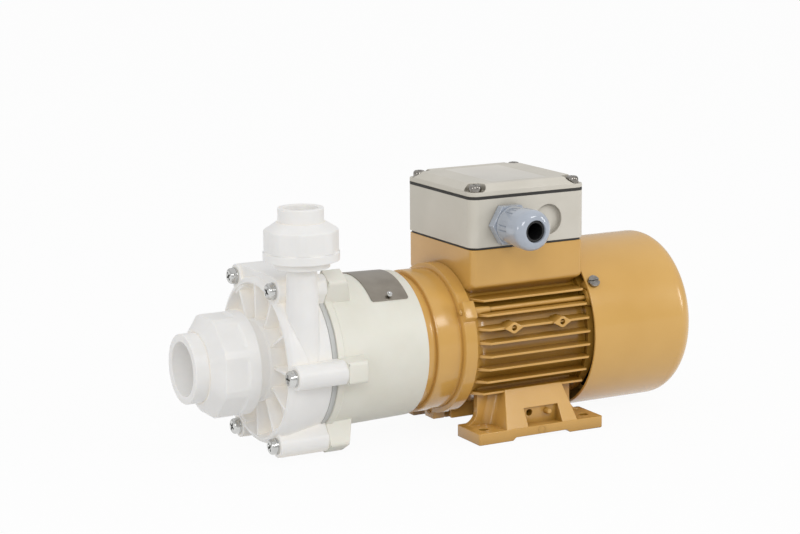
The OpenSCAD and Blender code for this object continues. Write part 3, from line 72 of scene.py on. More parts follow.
def add(tree, kind, settings={}, **sockets):
    """Adds a shader node, sets its properties and sets or links its sockets, named with _ for a space."""
    node = tree.nodes.new("ShaderNode" + kind)
    for key, value in settings.items():
        setattr(node, key, value)
    for key, value in sockets.items():
        socket = node.inputs[int(key[1:]) if key[0] == "_" else key.replace("_", " ")]
        if isinstance(value, bpy.types.NodeSocket):
            tree.links.new(value, socket)
        else:
            socket.default_value = value
    return node


camera = bpy.data.objects.new("camera", bpy.data.cameras.new("camera"))
azimuth, elevation, roll = radians(-28.34), radians(11.05), radians(-0.45)
back = Vector((sin(azimuth) * cos(elevation), -cos(azimuth) * cos(elevation), sin(elevation)))
level = Vector((cos(azimuth), sin(azimuth), 0))
upward = back.cross(level)
turned_level = level * cos(roll) + upward * sin(roll)
turned_up = upward * cos(roll) - level * sin(roll)
camera.matrix_world = Matrix((turned_level, turned_up, back)).transposed().to_4x4()
camera.location = (-0.683913, -1.143507, 0.355506)
camera.data.lens = 99.04
camera.data.sensor_width = 36
camera.data.clip_end = 20
scene.collection.objects.link(camera)
scene.camera = camera

room = bpy.data.worlds.new("studio_room")
scene.world = room
room.use_nodes = True
height = add(room.node_tree, "SeparateXYZ",
             Vector=add(room.node_tree, "TexCoord").outputs["Generated"]).outputs["Z"]
dimming = add(room.node_tree, "MapRange", Value=height,
              From_Min=0.0, From_Max=0.8, To_Min=0.54, To_Max=0.84)
sky = room.node_tree.nodes["Background"]
sky.inputs["Color"].default_value = (1, 1, 1, 1)
room.node_tree.links.new(dimming.outputs["Result"], sky.inputs["Strength"])

AIM = Vector((-0.04, 0, 0.08))
lamps = {
    "left_soft_box": ((-0.85, -1.7, 1.0), 0.65, 0.5, 7.5),
    "right_soft_box": ((0.75, -1.6, 1.25), 0.65, 0.5, 5.5),
    "right_strip": ((1.45, -1.0, 0.55), 0.25, 0.6, 4),
    "small_left_box": ((-1.6, -0.35, 0.5), 0.3, 0.45, 2.5),
}
for name, (place, width, tall, power) in lamps.items():
    lamp = bpy.data.objects.new(name, bpy.data.lights.new(name, "AREA"))
    lamp.data.shape = "RECTANGLE"
    lamp.data.size, lamp.data.size_y, lamp.data.energy = width, tall, power
    lamp.location = place
    lamp.rotation_euler = (AIM - lamp.location).to_track_quat("-Z", "Y").to_euler()
    scene.collection.objects.link(lamp)

# The sweep is white paper: it shows as white to the eye and in reflections, and still takes the shadow
paper = bpy.data.materials.new("white_paper_sweep")
paper.use_nodes = True
tree = paper.node_tree
path = add(tree, "LightPath").outputs
seen = add(tree, "Math", {"operation": "MAXIMUM"}, _0=path["Is Camera Ray"], _1=path["Is Glossy Ray"])
seen = add(tree, "Math", {"operation": "MAXIMUM"}, _0=seen.outputs[0], _1=path["Is Transmission Ray"])
share = add(tree, "Math", {"operation": "MULTIPLY"}, _0=seen.outputs[0], _1=0.95)
fibre = add(tree, "TexNoise", Vector=add(tree, "TexCoord").outputs["Object"], Scale=1000 / 3)
tint = add(tree, "MapRange", Value=fibre.outputs["Fac"], To_Min=0.68, To_Max=0.72)
matt = add(tree, "BsdfDiffuse", Color=tint.outputs["Result"])
glow = add(tree, "Emission", Color=(1, 1, 1, 1), Strength=1.0)
mixed = add(tree, "MixShader", _0=share.outputs[0], _1=matt.outputs[0], _2=glow.outputs[0])
tree.links.new(mixed.outputs[0], tree.nodes["Material Output"].inputs["Surface"])
sweep = bmesh.new()
bmesh.ops.create_grid(sweep, x_segments=1, y_segments=1, size=8)
bmesh.ops.translate(sweep, vec=(0, 0, -0.0001), verts=sweep.verts)
floor = bpy.data.objects.new("floor", bpy.data.meshes.new("floor"))
sweep.to_mesh(floor.data)
sweep.free()
floor.data.materials.append(paper)
scene.collection.objects.link(floor)

# Rotor and stator
# The wound stator is a stack of electrical steel pressed into the housing, and the rotor is a second stack
# on a turned shaft that runs in two ball bearings. The wave washer takes up the end play.


def finish(name, colours, patch, roughness, grain, relief, stretch=(1, 1, 1), shader={}, painted_crevice_tone=None):
    """A finish whose colour and gloss drift over patches, on a skin of fine grain; sizes in millimetres.

    Where a crevice colour is given, ambient occlusion paints it into corners and gaps: painted shade where
    it is darker than the finish, a painted glow where it is lighter.
    """
    material = bpy.data.materials.new(name)
    material.use_nodes = True
    tree = material.node_tree
    skin = tree.nodes["Principled BSDF"]
    for key, value in shader.items():
        skin.inputs[key].default_value = value
    place = add(tree, "TexCoord").outputs["Object"]
    drift = add(tree, "TexNoise", Vector=place, Scale=1000 / patch, Detail=3.0).outputs["Fac"]
    low, high = 0.35, 0.65
    tint = add(tree, "ValToRGB", Fac=drift)
    for spot, at, code in zip(tint.color_ramp.elements, (low, high), colours):
        spot.position, spot.color = at, linear(code)
    gloss = add(tree, "MapRange", Value=drift, From_Min=low, From_Max=high,
                To_Min=roughness[0], To_Max=roughness[1])
    along = add(tree, "Mapping", Vector=place, Scale=stretch).outputs[0]
    speckle = add(tree, "TexNoise", Vector=along, Scale=1000 / grain, Detail=2.0).outputs["Fac"]
    bump = add(tree, "Bump", Height=speckle, Distance=relief / 1000)
    colour = tint.outputs["Color"]
    if painted_crevice_tone:
        # The crevice colour is painted in where ambient occlusion finds surfaces close by: painted shade
        # when darker, painted glow when lighter
        occlusion_reach = add(tree, "AmbientOcclusion", {"samples": 6}, Distance=0.011).outputs["AO"]
        crevice_free_share = add(tree, "MapRange", Value=occlusion_reach, From_Min=0.2, From_Max=0.85).outputs["Result"]
        colour = add(tree, "Mix", {"data_type": "RGBA"}, _0=crevice_free_share, _6=linear(painted_crevice_tone), _7=colour).outputs[2]
    tree.links.new(colour, skin.inputs["Base Color"])
    tree.links.new(gloss.outputs["Result"], skin.inputs["Roughness"])
    tree.links.new(bump.outputs["Normal"], skin.inputs["Normal"])
    return material


def dress(material, *nodes):
    """Gives CAD nodes a material."""
    for node in nodes:
        frame["nodes"][node].data.materials.clear()
        frame["nodes"][node].data.materials.append(material)


# Turned steel: bright, with fine rings round the shaft left by the tool
turned_steel = finish("turned_steel", ("#a4a6a9", "#b4b6b8"), patch=9, roughness=(0.24, 0.34),
                      grain=0.7, relief=0.02, stretch=(1, 0.06, 0.06), shader={"Metallic": 1.0})
# Electrical steel: dull blue-grey sheets 0.5 mm thick, their edges drawn at 1 mm so that they show
stacked_steel = finish("stacked_electrical_steel", ("#6b6e73", "#84868a"), patch=12, roughness=(0.4, 0.55),
                       grain=1, relief=0.08, stretch=(1, 0.03, 0.03), shader={"Metallic": 1.0})
# Varnished copper wire: warm, glossy and ridged round the coil by its turns
copper_wire = finish("varnished_copper_wire", ("#a4521f", "#c2733a"), patch=5, roughness=(0.25, 0.4),
                     grain=1.2, relief=0.2, stretch=(1, 0.05, 0.05),
                     shader={"Metallic": 0.9, "Coat Weight": 0.4})
dress(turned_steel, "motor_shaft", "shaft_key", "bearing_outer_rings", "bearing_inner_rings",
      "bearing_balls", "wave_washer")
dress(stacked_steel, "stator_core", "rotor_core")
dress(copper_wire, "stator_windings")

# Motor housing
# One aluminium die casting: a barrel with side fins, feet, a seat for the terminal box and bosses.
# It is painted ochre all over, so every edge is softened by casting radius and paint.
SHAFT_Z = 56


def piece(name, bm, node, material, edge, crease=32, recalc=True):
    """Makes a bmesh in millimetres a finished piece, its edges rounded, in place of a CAD node."""
    if recalc:
        bmesh.ops.recalc_face_normals(bm, faces=bm.faces)
    bmesh.ops.scale(bm, vec=(0.001, 0.001, 0.001), verts=bm.verts)
    mesh = bpy.data.meshes.new(name)
    bm.to_mesh(mesh)
    bm.free()
    mesh.shade_smooth()
    mesh.set_sharp_from_angle(angle=radians(crease))
    mesh.materials.append(material)
    made = bpy.data.objects.new(name, mesh)
    scene.collection.objects.link(made)
    if edge:
        soft = made.modifiers.new("rounded_edges", "BEVEL")
        soft.width, soft.segments, soft.limit_method = edge / 1000, 3, "ANGLE"
        soft.angle_limit = radians(28)
        soft.use_clamp_overlap = False
        soft.harden_normals = True
    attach(made, frame["nodes"][node]["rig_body"])
    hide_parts(node)
    return made


def arc(u, v, r, start, end, steps=8):
    """Points on an arc, for an outline."""
    angles = [radians(start + (end - start) * i / steps) for i in range(steps + 1)]
    return [(u + r * cos(a), v + r * sin(a)) for a in angles]


def outward(angle):
    """The direction out from the shaft at an angle, 0 to the near side and 90 upwards."""
    return Vector((0, -cos(radians(angle)), sin(radians(angle))))


def turned(bm, profile, centre=(0, 0, SHAFT_Z), axis=(1, 0, 0), steps=96):
    """Spins a profile of (distance along the axis, radius), closed unless both ends lie on the axis."""
    centre, axis = Vector(centre), Vector(axis)
    out = Vector((0, 0, 1)) if abs(axis.z) < 0.5 else Vector((0, -1, 0))
    others = set(bm.verts)
    line = [bm.verts.new(centre + axis * a + out * r) for a, r in profile]
    edges = [bm.edges.new(pair) for pair in zip(line, line[1:])]
    if profile[0][1] or profile[-1][1]:
        edges.append(bm.edges.new((line[-1], line[0])))
    bmesh.ops.spin(bm, geom=line + edges, cent=centre, axis=axis, angle=tau, steps=steps, use_merge=True)
    bmesh.ops.remove_doubles(bm, verts=[v for v in bm.verts if v not in others], dist=0.001)
    return [v for v in bm.verts if v not in others]


def edges_of(verts):
    """The edges that meet a group of vertices, in the same order each run."""
    return list(dict.fromkeys(e for v in verts for e in v.link_edges))


def eased(bm, edges, radius, segments):
    """Rounds some edges of a shape."""
    bmesh.ops.bevel(bm, geom=edges, offset=radius, offset_type="OFFSET", affect="EDGES",
                    segments=segments, profile=0.5, material=-1)


def slab(bm, loops, origin, across, up, depth, ease=0):
    """Fills a flat outline, less the holes in it, and extrudes it by the depth vector, eased if asked."""
    origin, across, up = Vector(origin), Vector(across), Vector(up)
    others = set(bm.verts)
    edges = []
    for loop in loops:
        line = [bm.verts.new(origin + across * u + up * v) for u, v in loop]
        edges += [bm.edges.new((line[i - 1], line[i])) for i in range(len(line))]
    flat = bmesh.ops.triangle_fill(bm, use_beauty=True, use_dissolve=len(loops) == 1, edges=edges)["geom"]
    grown = bmesh.ops.extrude_face_region(bm, geom=[f for f in flat if isinstance(f, bmesh.types.BMFace)])
    moved = [v for v in grown["geom"] if isinstance(v, bmesh.types.BMVert)]
    bmesh.ops.translate(bm, vec=depth, verts=moved)
    if ease:
        eased(bm, edges_of([v for v in bm.verts if v not in others]), ease, 3)
    return [v for v in bm.verts if v not in others]


def sawn(bm, verts, point, normal, keep=False):
    """Cuts a shell by a plane; what lies beyond is taken off and the cut closed, unless it is kept."""
    geom = verts + edges_of(verts) + list(dict.fromkeys(f for v in verts for f in v.link_faces))
    others = set(bm.verts) - set(verts)
    cut = bmesh.ops.bisect_plane(bm, geom=geom, plane_co=point, plane_no=normal, clear_outer=not keep)
    if not keep:
        rim = [e for e in cut["geom_cut"] if isinstance(e, bmesh.types.BMEdge)]
        bmesh.ops.triangle_fill(bm, use_beauty=True, use_dissolve=False, edges=rim)
    return [v for v in bm.verts if v not in others]


# Gloss paint on a casting: ochre with a clear, wet shine and an orange peel about 2 mm wide, with painted
# shade, browner, in its gaps
ochre_paint = finish("ochre_gloss_paint_on_casting", ("#c99b4e", "#d0a257"), patch=40,
                     roughness=(0.16, 0.22), grain=2.2, relief=0.02, painted_crevice_tone="#946b1c",
                     shader={"IOR": 1.5, "Coat Weight": 0.25, "Coat Roughness": 0.1})
FRONT, REAR = -40, 38.5
BARREL_R, BORE_R = 42.2, 40.05
casting = bmesh.new()
turned(casting, [(FRONT, BORE_R), (FRONT, 46), (-38.4, 44.7), (-36.8, 43.75), (-35.2, 43.1), (-33.6, 42.65),
                 (-31.8, 42.35), (-29.5, BARREL_R), (REAR, BARREL_R), (REAR, BORE_R)])
FIN_T, FIN_TIP, FIN_PITCH = 2.2, 50.3, 8.15
FIN_ROOT, FIN_REAR, LOWEST_FIN = 41, 37.7, 27.475
for i in range(8):
    z = LOWEST_FIN + i * FIN_PITCH
    root, body, tip = (sqrt(r * r - (z - SHAFT_Z) ** 2) for r in (FIN_ROOT, 44, FIN_TIP))
    outline = [(-38.5, root), (-38.5, body), (-36.6, body + 0.35 * (tip - body)), (-33, tip), (36.9, tip),
               (FIN_REAR, tip - 0.8), (FIN_REAR, root)]
    for side in (-1, 1):
        for v in slab(casting, [outline], (0, 0, z - FIN_T / 2), (1, 0, 0), (0, side, 0), (0, 0, FIN_T)):
            # Fins leave the mould, so they thin out towards the tip
            v.co.z = z + (v.co.z - z) * (0.66 + 0.06 * (FIN_TIP - hypot(v.co.y, v.co.z - SHAFT_Z)))
for i in range(4):
    y = (i - 1.5) * FIN_PITCH
    root, tip = (-sqrt(r * r - y * y) for r in (FIN_ROOT, FIN_TIP))
    outline = [(-39.9, root), (-39.9, tip + 0.7), (-39.2, tip), (FIN_REAR, tip), (FIN_REAR, root)]
    slab(casting, [outline], (0, y - FIN_T / 2, SHAFT_Z), (1, 0, 0), (0, 0, 1), (0, FIN_T, 0))
# Three stubs in front take the tie bolts
TIE_ANGLES, TIE_R = (30, 150, 270), 46
for angle in TIE_ANGLES:
    centre = Vector((0, 0, SHAFT_Z)) + outward(angle) * TIE_R
    turned(casting, [(FRONT, 1.7), (FRONT, 2.5), (-28.6, 2.2), (-28.6, 1.7)], centre, steps=32)

# The box seat turns in below its skirt and runs back into the barrel over the top fin
SEAT_X0, SEAT_X1 = -39.85, 38.35
skirt = [(-39.1, 115.2)] + arc(-35.6, 95, 3.5, 180, 238, 6) + [(-30.5, 88.8), (-27, 85)]
skirt += [(-y, z) for y, z in reversed(skirt)]
seat = slab(casting, [skirt], (SEAT_X0, 0, 0), (0, 1, 0), (0, 0, 1), (SEAT_X1 - SEAT_X0, 0, 0))
corners = [e for e in edges_of(seat) if abs(e.verts[0].co.x - e.verts[1].co.x) < 0.01
           and abs(e.verts[0].co.z - e.verts[1].co.z) > 0.1]
eased(casting, corners, 3.4, 6)

# Each foot: a plate with two bolt holes and a relief under its middle, an end wall and a sloping block
FOOT_END, FOOT_IN, FOOT_OUT, FOOT_T = 43.65, 27.3, 54.3, 7.2
HOLE_X, HOLE_Y, HOLE_R = 35.5, 45, 2.9
RELIEF, RELIEF_END = 1.8, 18
WALL_END, WALL_IN, WALL_OUT, WALL_R = 33, 28.8, 33.2, 8
BLOCK_FOOT, BLOCK_TOP, BLOCK_BACK, FILLET_R = 6.2, 28.6, 29.3, 6
SLOPE_OUT, SLOPE_IN = 53.7, 42
for side in (-1, 1):
    plate = [(-FOOT_END, FOOT_IN), (FOOT_END, FOOT_IN), (FOOT_END, FOOT_OUT), (-FOOT_END, FOOT_OUT)]
    holes = [arc(x, HOLE_Y, HOLE_R, 0, 345, 23) for x in (-HOLE_X, HOLE_X)]
    foot = slab(casting, [plate] + holes, (0, 0, 0), (1, 0, 0), (0, side, 0), (0, 0, FOOT_T))
    others = set(casting.verts) - set(foot)
    upright = [e for e in edges_of(foot) if all(abs(abs(v.co.x) - FOOT_END) < 0.01 for v in e.verts)
               and abs(e.verts[0].co.z - e.verts[1].co.z) > 1]
    eased(casting, upright, 1.3, 5)
    foot = [v for v in casting.verts if v not in others]
    for x in (-RELIEF_END - 2, -RELIEF_END, RELIEF_END, RELIEF_END + 2):
        foot = sawn(casting, foot, (x, 0, 0), (1, 0, 0), keep=True)
    under = [v for v in foot if abs(v.co.x) < RELIEF_END + 0.1 and v.co.z < 0.01]
    bmesh.ops.translate(casting, vec=(0, 0, RELIEF), verts=under)

    wall = [(-WALL_END - WALL_R, 6)] + arc(-WALL_END - WALL_R, FOOT_T + WALL_R, WALL_R, -90, 0, 6)
    wall += [(-WALL_END, 31)]
    wall += [(-x, z) for x, z in reversed(wall)]
    slab(casting, [wall], (0, side * WALL_IN, 0), (1, 0, 0), (0, 0, 1), (0, side * (WALL_OUT - WALL_IN), 0))

    # The near block is open at the foot of its front, for an earth terminal
    block = [(-24.7, BLOCK_FOOT), (-18.6, BLOCK_TOP), (21.6, BLOCK_TOP), (25.8, BLOCK_FOOT)]
    if side < 0:
        block += [(15, BLOCK_FOOT), (15, 17.2), (-9, 17.2), (-9, BLOCK_FOOT)]
    block = slab(casting, [block], (0, side * BLOCK_BACK, 0), (1, 0, 0), (0, 0, 1), (0, side * 27, 0))
    # Its front slopes from the edge of the plate in to the lowest fin
    slope = (0, side * (LOWEST_FIN - FOOT_T), SLOPE_OUT - SLOPE_IN)
    sawn(casting, block, (0, side * SLOPE_OUT, FOOT_T), slope)
    # A wide fillet runs up between the wall and each flank of the block
    for end, foot_x, slant in ((-1, 24.7, 0.272), (1, 25.8, 0.188)):
        fillet = arc(foot_x + FILLET_R, WALL_OUT + FILLET_R, FILLET_R, 180, 270)
        fillet += [(foot_x + FILLET_R, WALL_OUT - 1), (foot_x - 1, WALL_OUT - 1)]
        fillet += [(foot_x - 1, WALL_OUT + FILLET_R)]
        for v in slab(casting, [fillet], (0, 0, BLOCK_FOOT), (end, 0, 0), (0, side, 0),
                      (0, 0, BLOCK_TOP - BLOCK_FOOT)):
            v.co.x -= end * slant * (v.co.z - BLOCK_FOOT)
# Earth terminal: the back of the opening has a screw hole and a cast peg, and a ring marks the plate's edge
EARTH_Y, EARTH_Z, HOLE_AT, PEG_AT = -46, 13.6, -4, 8
slab(casting, [[(-10, BLOCK_FOOT), (16, BLOCK_FOOT), (16, 18.2), (-10, 18.2)],
               arc(HOLE_AT, EARTH_Z, 2, 0, 345, 23)], (0, EARTH_Y, 0), (1, 0, 0), (0, 0, 1), (0, 8, 0))
turned(casting, [(0, 0), (0, 2.3), (1, 2.3), (1, 0)], (HOLE_AT, EARTH_Y + 7, EARTH_Z), (0, -1, 0), 24)
turned(casting, [(-0.5, 0), (-0.5, 2.1), (3.9, 1.6), (4.4, 1.2), (4.5, 0)], (PEG_AT, EARTH_Y, EARTH_Z),
       (0, -1, 0), 24)
turned(casting, [(-0.5, 1.9), (-0.5, 2.7), (0.2, 2.45), (0.2, 2.15)], (0.2, -FOOT_OUT, 4.6), (0, -1, 0), 32)

# Accessory bosses: an eye-shaped swelling of one fin round a tapped hole
BOSS_X, BOSS_Z = 17, 68.2
eye = [(-6.6, 0), (-2.7, -2.2), (-1.4, -3.1), (0, -3.5), (1.4, -3.1), (2.7, -2.2)]
eye += [(-u, -v) for u, v in eye]
for side in (-1, 1):
    for x in (-BOSS_X, BOSS_X):
        slab(casting, [eye, arc(0, 0, 1.7, 0, 337.5, 15)], (x, side * FIN_TIP, BOSS_Z), (1, 0, 0), (0, 0, 1),
             (0, -side * 9, 0))
piece("motor_housing_casting", casting, "motor_housing", ochre_paint, edge=0.45)

# End shields and tie bolts
# Two cast end shields centre the bearings. Three long bolts through their ears clamp them to the housing,
# and the whole motor was painted after that, bolts included.


def radial(bm, loops, angle, x, depth, ease=0):
    """A slab square to the shaft, with its outline in (across, out from the shaft) turned to an angle."""
    out = outward(angle)
    return slab(bm, loops, (x, 0, SHAFT_Z), out.cross((1, 0, 0)), out, (depth, 0, 0), ease)


# Gloss paint on a machined casting: the same wet ochre all over, without the painted shade in gaps that the
# housing's paint has
shield_paint = finish("ochre_gloss_paint_on_end_shield", ("#c99b4e", "#d0a257"), patch=40,
                      roughness=(0.16, 0.22), grain=2.2, relief=0.02,
                      shader={"IOR": 1.5, "Coat Weight": 0.25, "Coat Roughness": 0.1})
shield = bmesh.new()
turned(shield, [(-74, 6.3), (-74, 24.7), (-71.5, 24.7), (-71.5, 40.8), (-71.1, 41.2), (-66.4, 41.2),
                (-65.8, 40.9), (-65.5, 40.3), (-64.9, 40.3), (-64.7, 42.6), (-64.2, 43.2), (-63.6, 43.3),
                (-49.9, 43.3), (-49.2, 43.1), (-48.8, 42.5), (-48.1, 42.5), (-47.9, 45.4), (-47.5, 46),
                (-46.9, 46.1), (FRONT, 46.1), (FRONT, 39.7), (-37, 39.7), (-37, 37.5), (-58, 37.5),
                (-58, 20), (-55, 20), (-55, 16.05), (-66, 16.05), (-66, 6.3)])
ear = [(-7.4, 40), (7.4, 40), (5.3, 50.2), (-5.3, 50.2)]
for angle in TIE_ANGLES:
    radial(shield, [ear], angle, x=-47.7, depth=7.9, ease=0.5)
piece("front_shield_casting", shield, "front_end_shield", shield_paint, edge=0)

bolts = bmesh.new()
for angle in TIE_ANGLES:
    centre = Vector((0, 0, SHAFT_Z)) + outward(angle) * TIE_R
    turned(bolts, [(-49.4, 0), (-49.3, 0.8), (-48.9, 1.5), (-48.2, 1.9), (-46, 1.9), (-46, 1.6), (46, 1.6),
                   (46, 3.4), (49.4, 3.4), (49.4, 0)], centre, steps=24)
piece("painted_tie_bolts", bolts, "tie_bolts", ochre_paint, edge=0.2)
dress(ochre_paint, "rear_end_shield")

# Fan and cowl
# A moulded fan clipped on the shaft end blows air along the fins. The cowl over it is deep-drawn sheet
# with a ring grille, held by three slotted screws.


def copied(node):
    """A CAD node's own shape, merged and cleared of the edges inside flat faces."""
    bm = bmesh.new()
    bm.from_mesh(frame["nodes"][node].data)
    bmesh.ops.remove_doubles(bm, verts=bm.verts, dist=2e-6)
    bmesh.ops.dissolve_limit(bm, angle_limit=radians(0.5), verts=bm.verts, edges=bm.edges)
    bmesh.ops.scale(bm, vec=(1000, 1000, 1000), verts=bm.verts)
    return bm


def softened(node, material, edge):
    """A CAD node's own shape with rounded edges."""
    return piece(node + "_rounded", copied(node), node, material, edge, recalc=False)


# Gloss paint on drawn sheet: the same ochre, smoother than on the castings
ochre_sheet = finish("ochre_gloss_paint_on_sheet", ("#cc9e50", "#d2a559"), patch=60, roughness=(0.2, 0.26),
                     grain=3, relief=0.012, shader={"IOR": 1.5, "Coat Weight": 0.25, "Coat Roughness": 0.08})
# Moulded black nylon: dull, with a soft broken sheen
black_nylon = finish("moulded_black_nylon", ("#232427", "#2c2d31"), patch=15, roughness=(0.45, 0.6),
                     grain=0.9, relief=0.03)
# Bright stainless steel: mirror-like with faint handling marks
stainless = finish("bright_stainless_steel", ("#c4c4c2", "#d2d2d0"), patch=4, roughness=(0.1, 0.2),
                   grain=0.8, relief=0.004, shader={"Metallic": 1.0})
# Dull stainless steel: rougher than a bright screw, its colour darkened as a painted reflection of a darker
# room
stainless_darkened_reflection = finish("stainless_steel_painted_dark_reflection", ("#86827c", "#9c9893"), patch=3, roughness=(0.16, 0.28),
                        grain=0.8, relief=0.006, shader={"Metallic": 1.0})
COWL_FRONT, COWL_REAR, COWL_R = 39.4, 114.4, 52.2
SHEET_T, DRAW_R, GRILLE_R = 1.5, 12, 37.4
cowl_inside = COWL_REAR - SHEET_T
bend = (COWL_REAR - DRAW_R, COWL_R - DRAW_R)
cowl = bmesh.new()
turned(cowl, [(COWL_FRONT, COWL_R - SHEET_T), (COWL_FRONT, COWL_R)] + arc(*bend, DRAW_R, 90, 0, 10)
       + [(COWL_REAR, GRILLE_R), (cowl_inside, GRILLE_R)]
       + arc(*bend, DRAW_R - SHEET_T, 0, 90, 10), steps=128)
for inner, outer in ((0, 10), (13.4, 16), (19.4, 22), (25.4, 28), (31.4, 34)):
    turned(cowl, [(COWL_REAR, inner), (COWL_REAR, outer), (cowl_inside, outer), (cowl_inside, inner)])
spoke = [(-2, 9), (2, 9), (2, 38.2), (-2, 38.2)]
for i in range(8):
    radial(cowl, [spoke], 45 * i, x=cowl_inside + 0.1, depth=SHEET_T - 0.2)
piece("fan_cowl_drawn", cowl, "fan_cowl", ochre_sheet, edge=0.35)
softened("cowl_screws", stainless_darkened_reflection, edge=0.2)
dress(black_nylon, "fan")
dress(turned_steel, "fan_clip")

# Lantern
# A cream moulding of glass-filled plastic that carries the pump on the motor flange. Six lugs take the
# casing screws in brass inserts, and a plain rating plate is riveted round its top.
# Glass-filled plastic: cream, satin, with a faint flow of fibres along the tube
cream_plastic = finish("cream_glass_filled_plastic", ("#dbd9cd", "#e1dfd5"), patch=30,
                       roughness=(0.42, 0.52), grain=1.1, relief=0.02, stretch=(0.4, 1, 1),
                       shader={"Subsurface Weight": 0.05, "Subsurface Scale": 0.002})
LANTERN_FRONT, LANTERN_REAR = -132.4, -71.5
NECK_X, NECK_R, TAPER = -127.5, 45.4, 0.025
SCREW_R, SCREW_ANGLES = 52.9, (0, 60, 120, 180, 240, 300)
lantern = bmesh.new()
turned(lantern, [(LANTERN_FRONT, 40.5), (LANTERN_FRONT, 46.5), (-128.4, 46.5), (NECK_X, NECK_R),
                 (LANTERN_REAR, 44), (LANTERN_REAR, 25.05), (-77, 25.05), (-77, 40.5)])
LUG_HALF, LUG_ROOT, LUG_TIP, LUG_L, CORNER_R = 6.6, 42.5, 59.9, 16.9, 2.2
LUG_RISE, LUG_SLOPE = 14.5, 5
corner = (LUG_HALF - CORNER_R, LUG_TIP - CORNER_R)
lug_outline = [(LUG_HALF, LUG_ROOT)] + arc(*corner, CORNER_R, 0, 90, 4)
lug_outline += arc(-corner[0], corner[1], CORNER_R, 90, 180, 4) + [(-LUG_HALF, LUG_ROOT)]
insert_hole = arc(0, SCREW_R, 3.55, 0, 345, 23)
for angle in SCREW_ANGLES:
    lug = radial(lantern, [lug_outline, insert_hole], angle, x=LANTERN_FRONT, depth=LUG_L)
    # The back of a lug slopes off towards its tip
    tip = Vector((LANTERN_FRONT + LUG_L - LUG_SLOPE, 0, SHAFT_Z)) + outward(angle) * LUG_TIP
    sawn(lantern, lug, tip, Vector((LUG_RISE, 0, 0)) + outward(angle) * LUG_SLOPE)
piece("lantern_moulding", lantern, "lantern", cream_plastic, edge=0.5)

# Brushed stainless sheet: fine scratches along the shaft, its colour darkened as a painted reflection of the
# dark room above it
brushed_sheet = finish("brushed_stainless_sheet", ("#968f85", "#a69f95"), patch=14, roughness=(0.28, 0.4),
                       grain=0.6, relief=0.012, stretch=(0.05, 1, 1),
                       shader={"Metallic": 1.0, "Anisotropic": 0.4})
PLATE_X, PLATE_L, PLATE_A, PLATE_R, PLATE_T = -102, 24.5, 42, 45, 0.52
rating = bmesh.new()
half = radians(PLATE_A) * PLATE_R
slab(rating, [[(0, -half), (PLATE_L, -half), (PLATE_L, half), (0, half)]], (PLATE_X, 0, 0.08), (1, 0, 0),
     (0, 1, 0), (0, 0, PLATE_T))
eased(rating, [e for e in rating.edges if abs(e.verts[0].co.z - e.verts[1].co.z) > 0.1], 1.6, 4)
# It is rolled to the lantern's slight taper, in narrow strips
STRIPS = 28
for i in range(1, STRIPS):
    sawn(rating, list(rating.verts), (0, half * (2 * i / STRIPS - 1), 0), (0, 1, 0), keep=True)
for v in rating.verts:
    radius = NECK_R - TAPER * (v.co.x - NECK_X) + v.co.z
    turn = v.co.y / PLATE_R
    v.co = (v.co.x, radius * sin(turn), SHAFT_Z + radius * cos(turn))
piece("rating_plate", rating, "name_plate", brushed_sheet, edge=0.12)
rivets = bmesh.new()
RIVET_ANGLES, RIVET_R = (52, 128), 2.3
for angle in RIVET_ANGLES:
    turned(rivets, [(45, 0), (45, RIVET_R), (45.4, RIVET_R), (45.9, 2.05), (46.3, 1.5), (46.5, 0.8),
                    (46.55, 0)], (PLATE_X + PLATE_L / 2, 0, SHAFT_Z), outward(angle), 32)
piece("plate_rivets_domed", rivets, "plate_rivets", stainless, edge=0)
# Turned brass: yellow and bright
brass = finish("turned_brass", ("#c0983f", "#cfa951"), patch=5, roughness=(0.22, 0.34), grain=0.6,
               relief=0.015, stretch=(1, 0.1, 0.1), shader={"Metallic": 1.0})
dress(brass, "lantern_inserts")
dress(stainless, "lantern_bolts")

# Magnet coupling
# A steel cup keyed to the motor shaft carries a ring of magnets round the can, and drags the impeller's
# magnet inside it with no contact.
# Sintered magnet: dark grey and slightly grainy
sintered = finish("sintered_magnet", ("#43464b", "#50535a"), patch=6, roughness=(0.35, 0.5), grain=0.7,
                  relief=0.03, shader={"Metallic": 0.8})
dress(turned_steel, "outer_magnet_carrier", "carrier_set_screw")
dress(sintered, "drive_magnets", "inner_magnet")

# Containment shell and impeller
# The can is moulded with a flange that is clamped between casing and lantern, and whose lugs lie inside
# the bosses of the casing; its grey colour is painted shade for the band round the flange. Inside the can
# the impeller turns on a ceramic shaft.
# Moulded plastic: satin, coloured grey as painted shade
shade_grey_plastic = finish("moulded_plastic_painted_shade_grey", ("#b9bab8", "#c4c5c3"), patch=20, roughness=(0.38, 0.48),
                      grain=1.2, relief=0.015)
CASING_REAR = -135.6
can = bmesh.new()
turned(can, [(CASING_REAR, 20), (CASING_REAR, 45.7), (LANTERN_FRONT, 45.3), (LANTERN_FRONT, 40.2),
             (-129.4, 40.2), (-129.4, 37.7), (LANTERN_FRONT, 37.7), (LANTERN_FRONT, 26), (-82.5, 26),
             (-82.5, 0), (-84.5, 0), (-84.5, 24), (-134, 24), (-134, 20)])
piece("containment_shell_moulding", can, "containment_shell", shade_grey_plastic, edge=0.3)
# Ground alumina ceramic: ivory and smooth
ceramic = finish("ground_alumina", ("#efebe2", "#f4f1ea"), patch=8, roughness=(0.2, 0.3), grain=0.8,
                 relief=0.004)
# Carbon: nearly black, greasy gloss
carbon = finish("carbon_bearing", ("#343436", "#404043"), patch=5, roughness=(0.3, 0.45), grain=0.6,
                relief=0.02)
dress(ceramic, "pump_shaft", "thrust_rings")
dress(carbon, "impeller_bush")
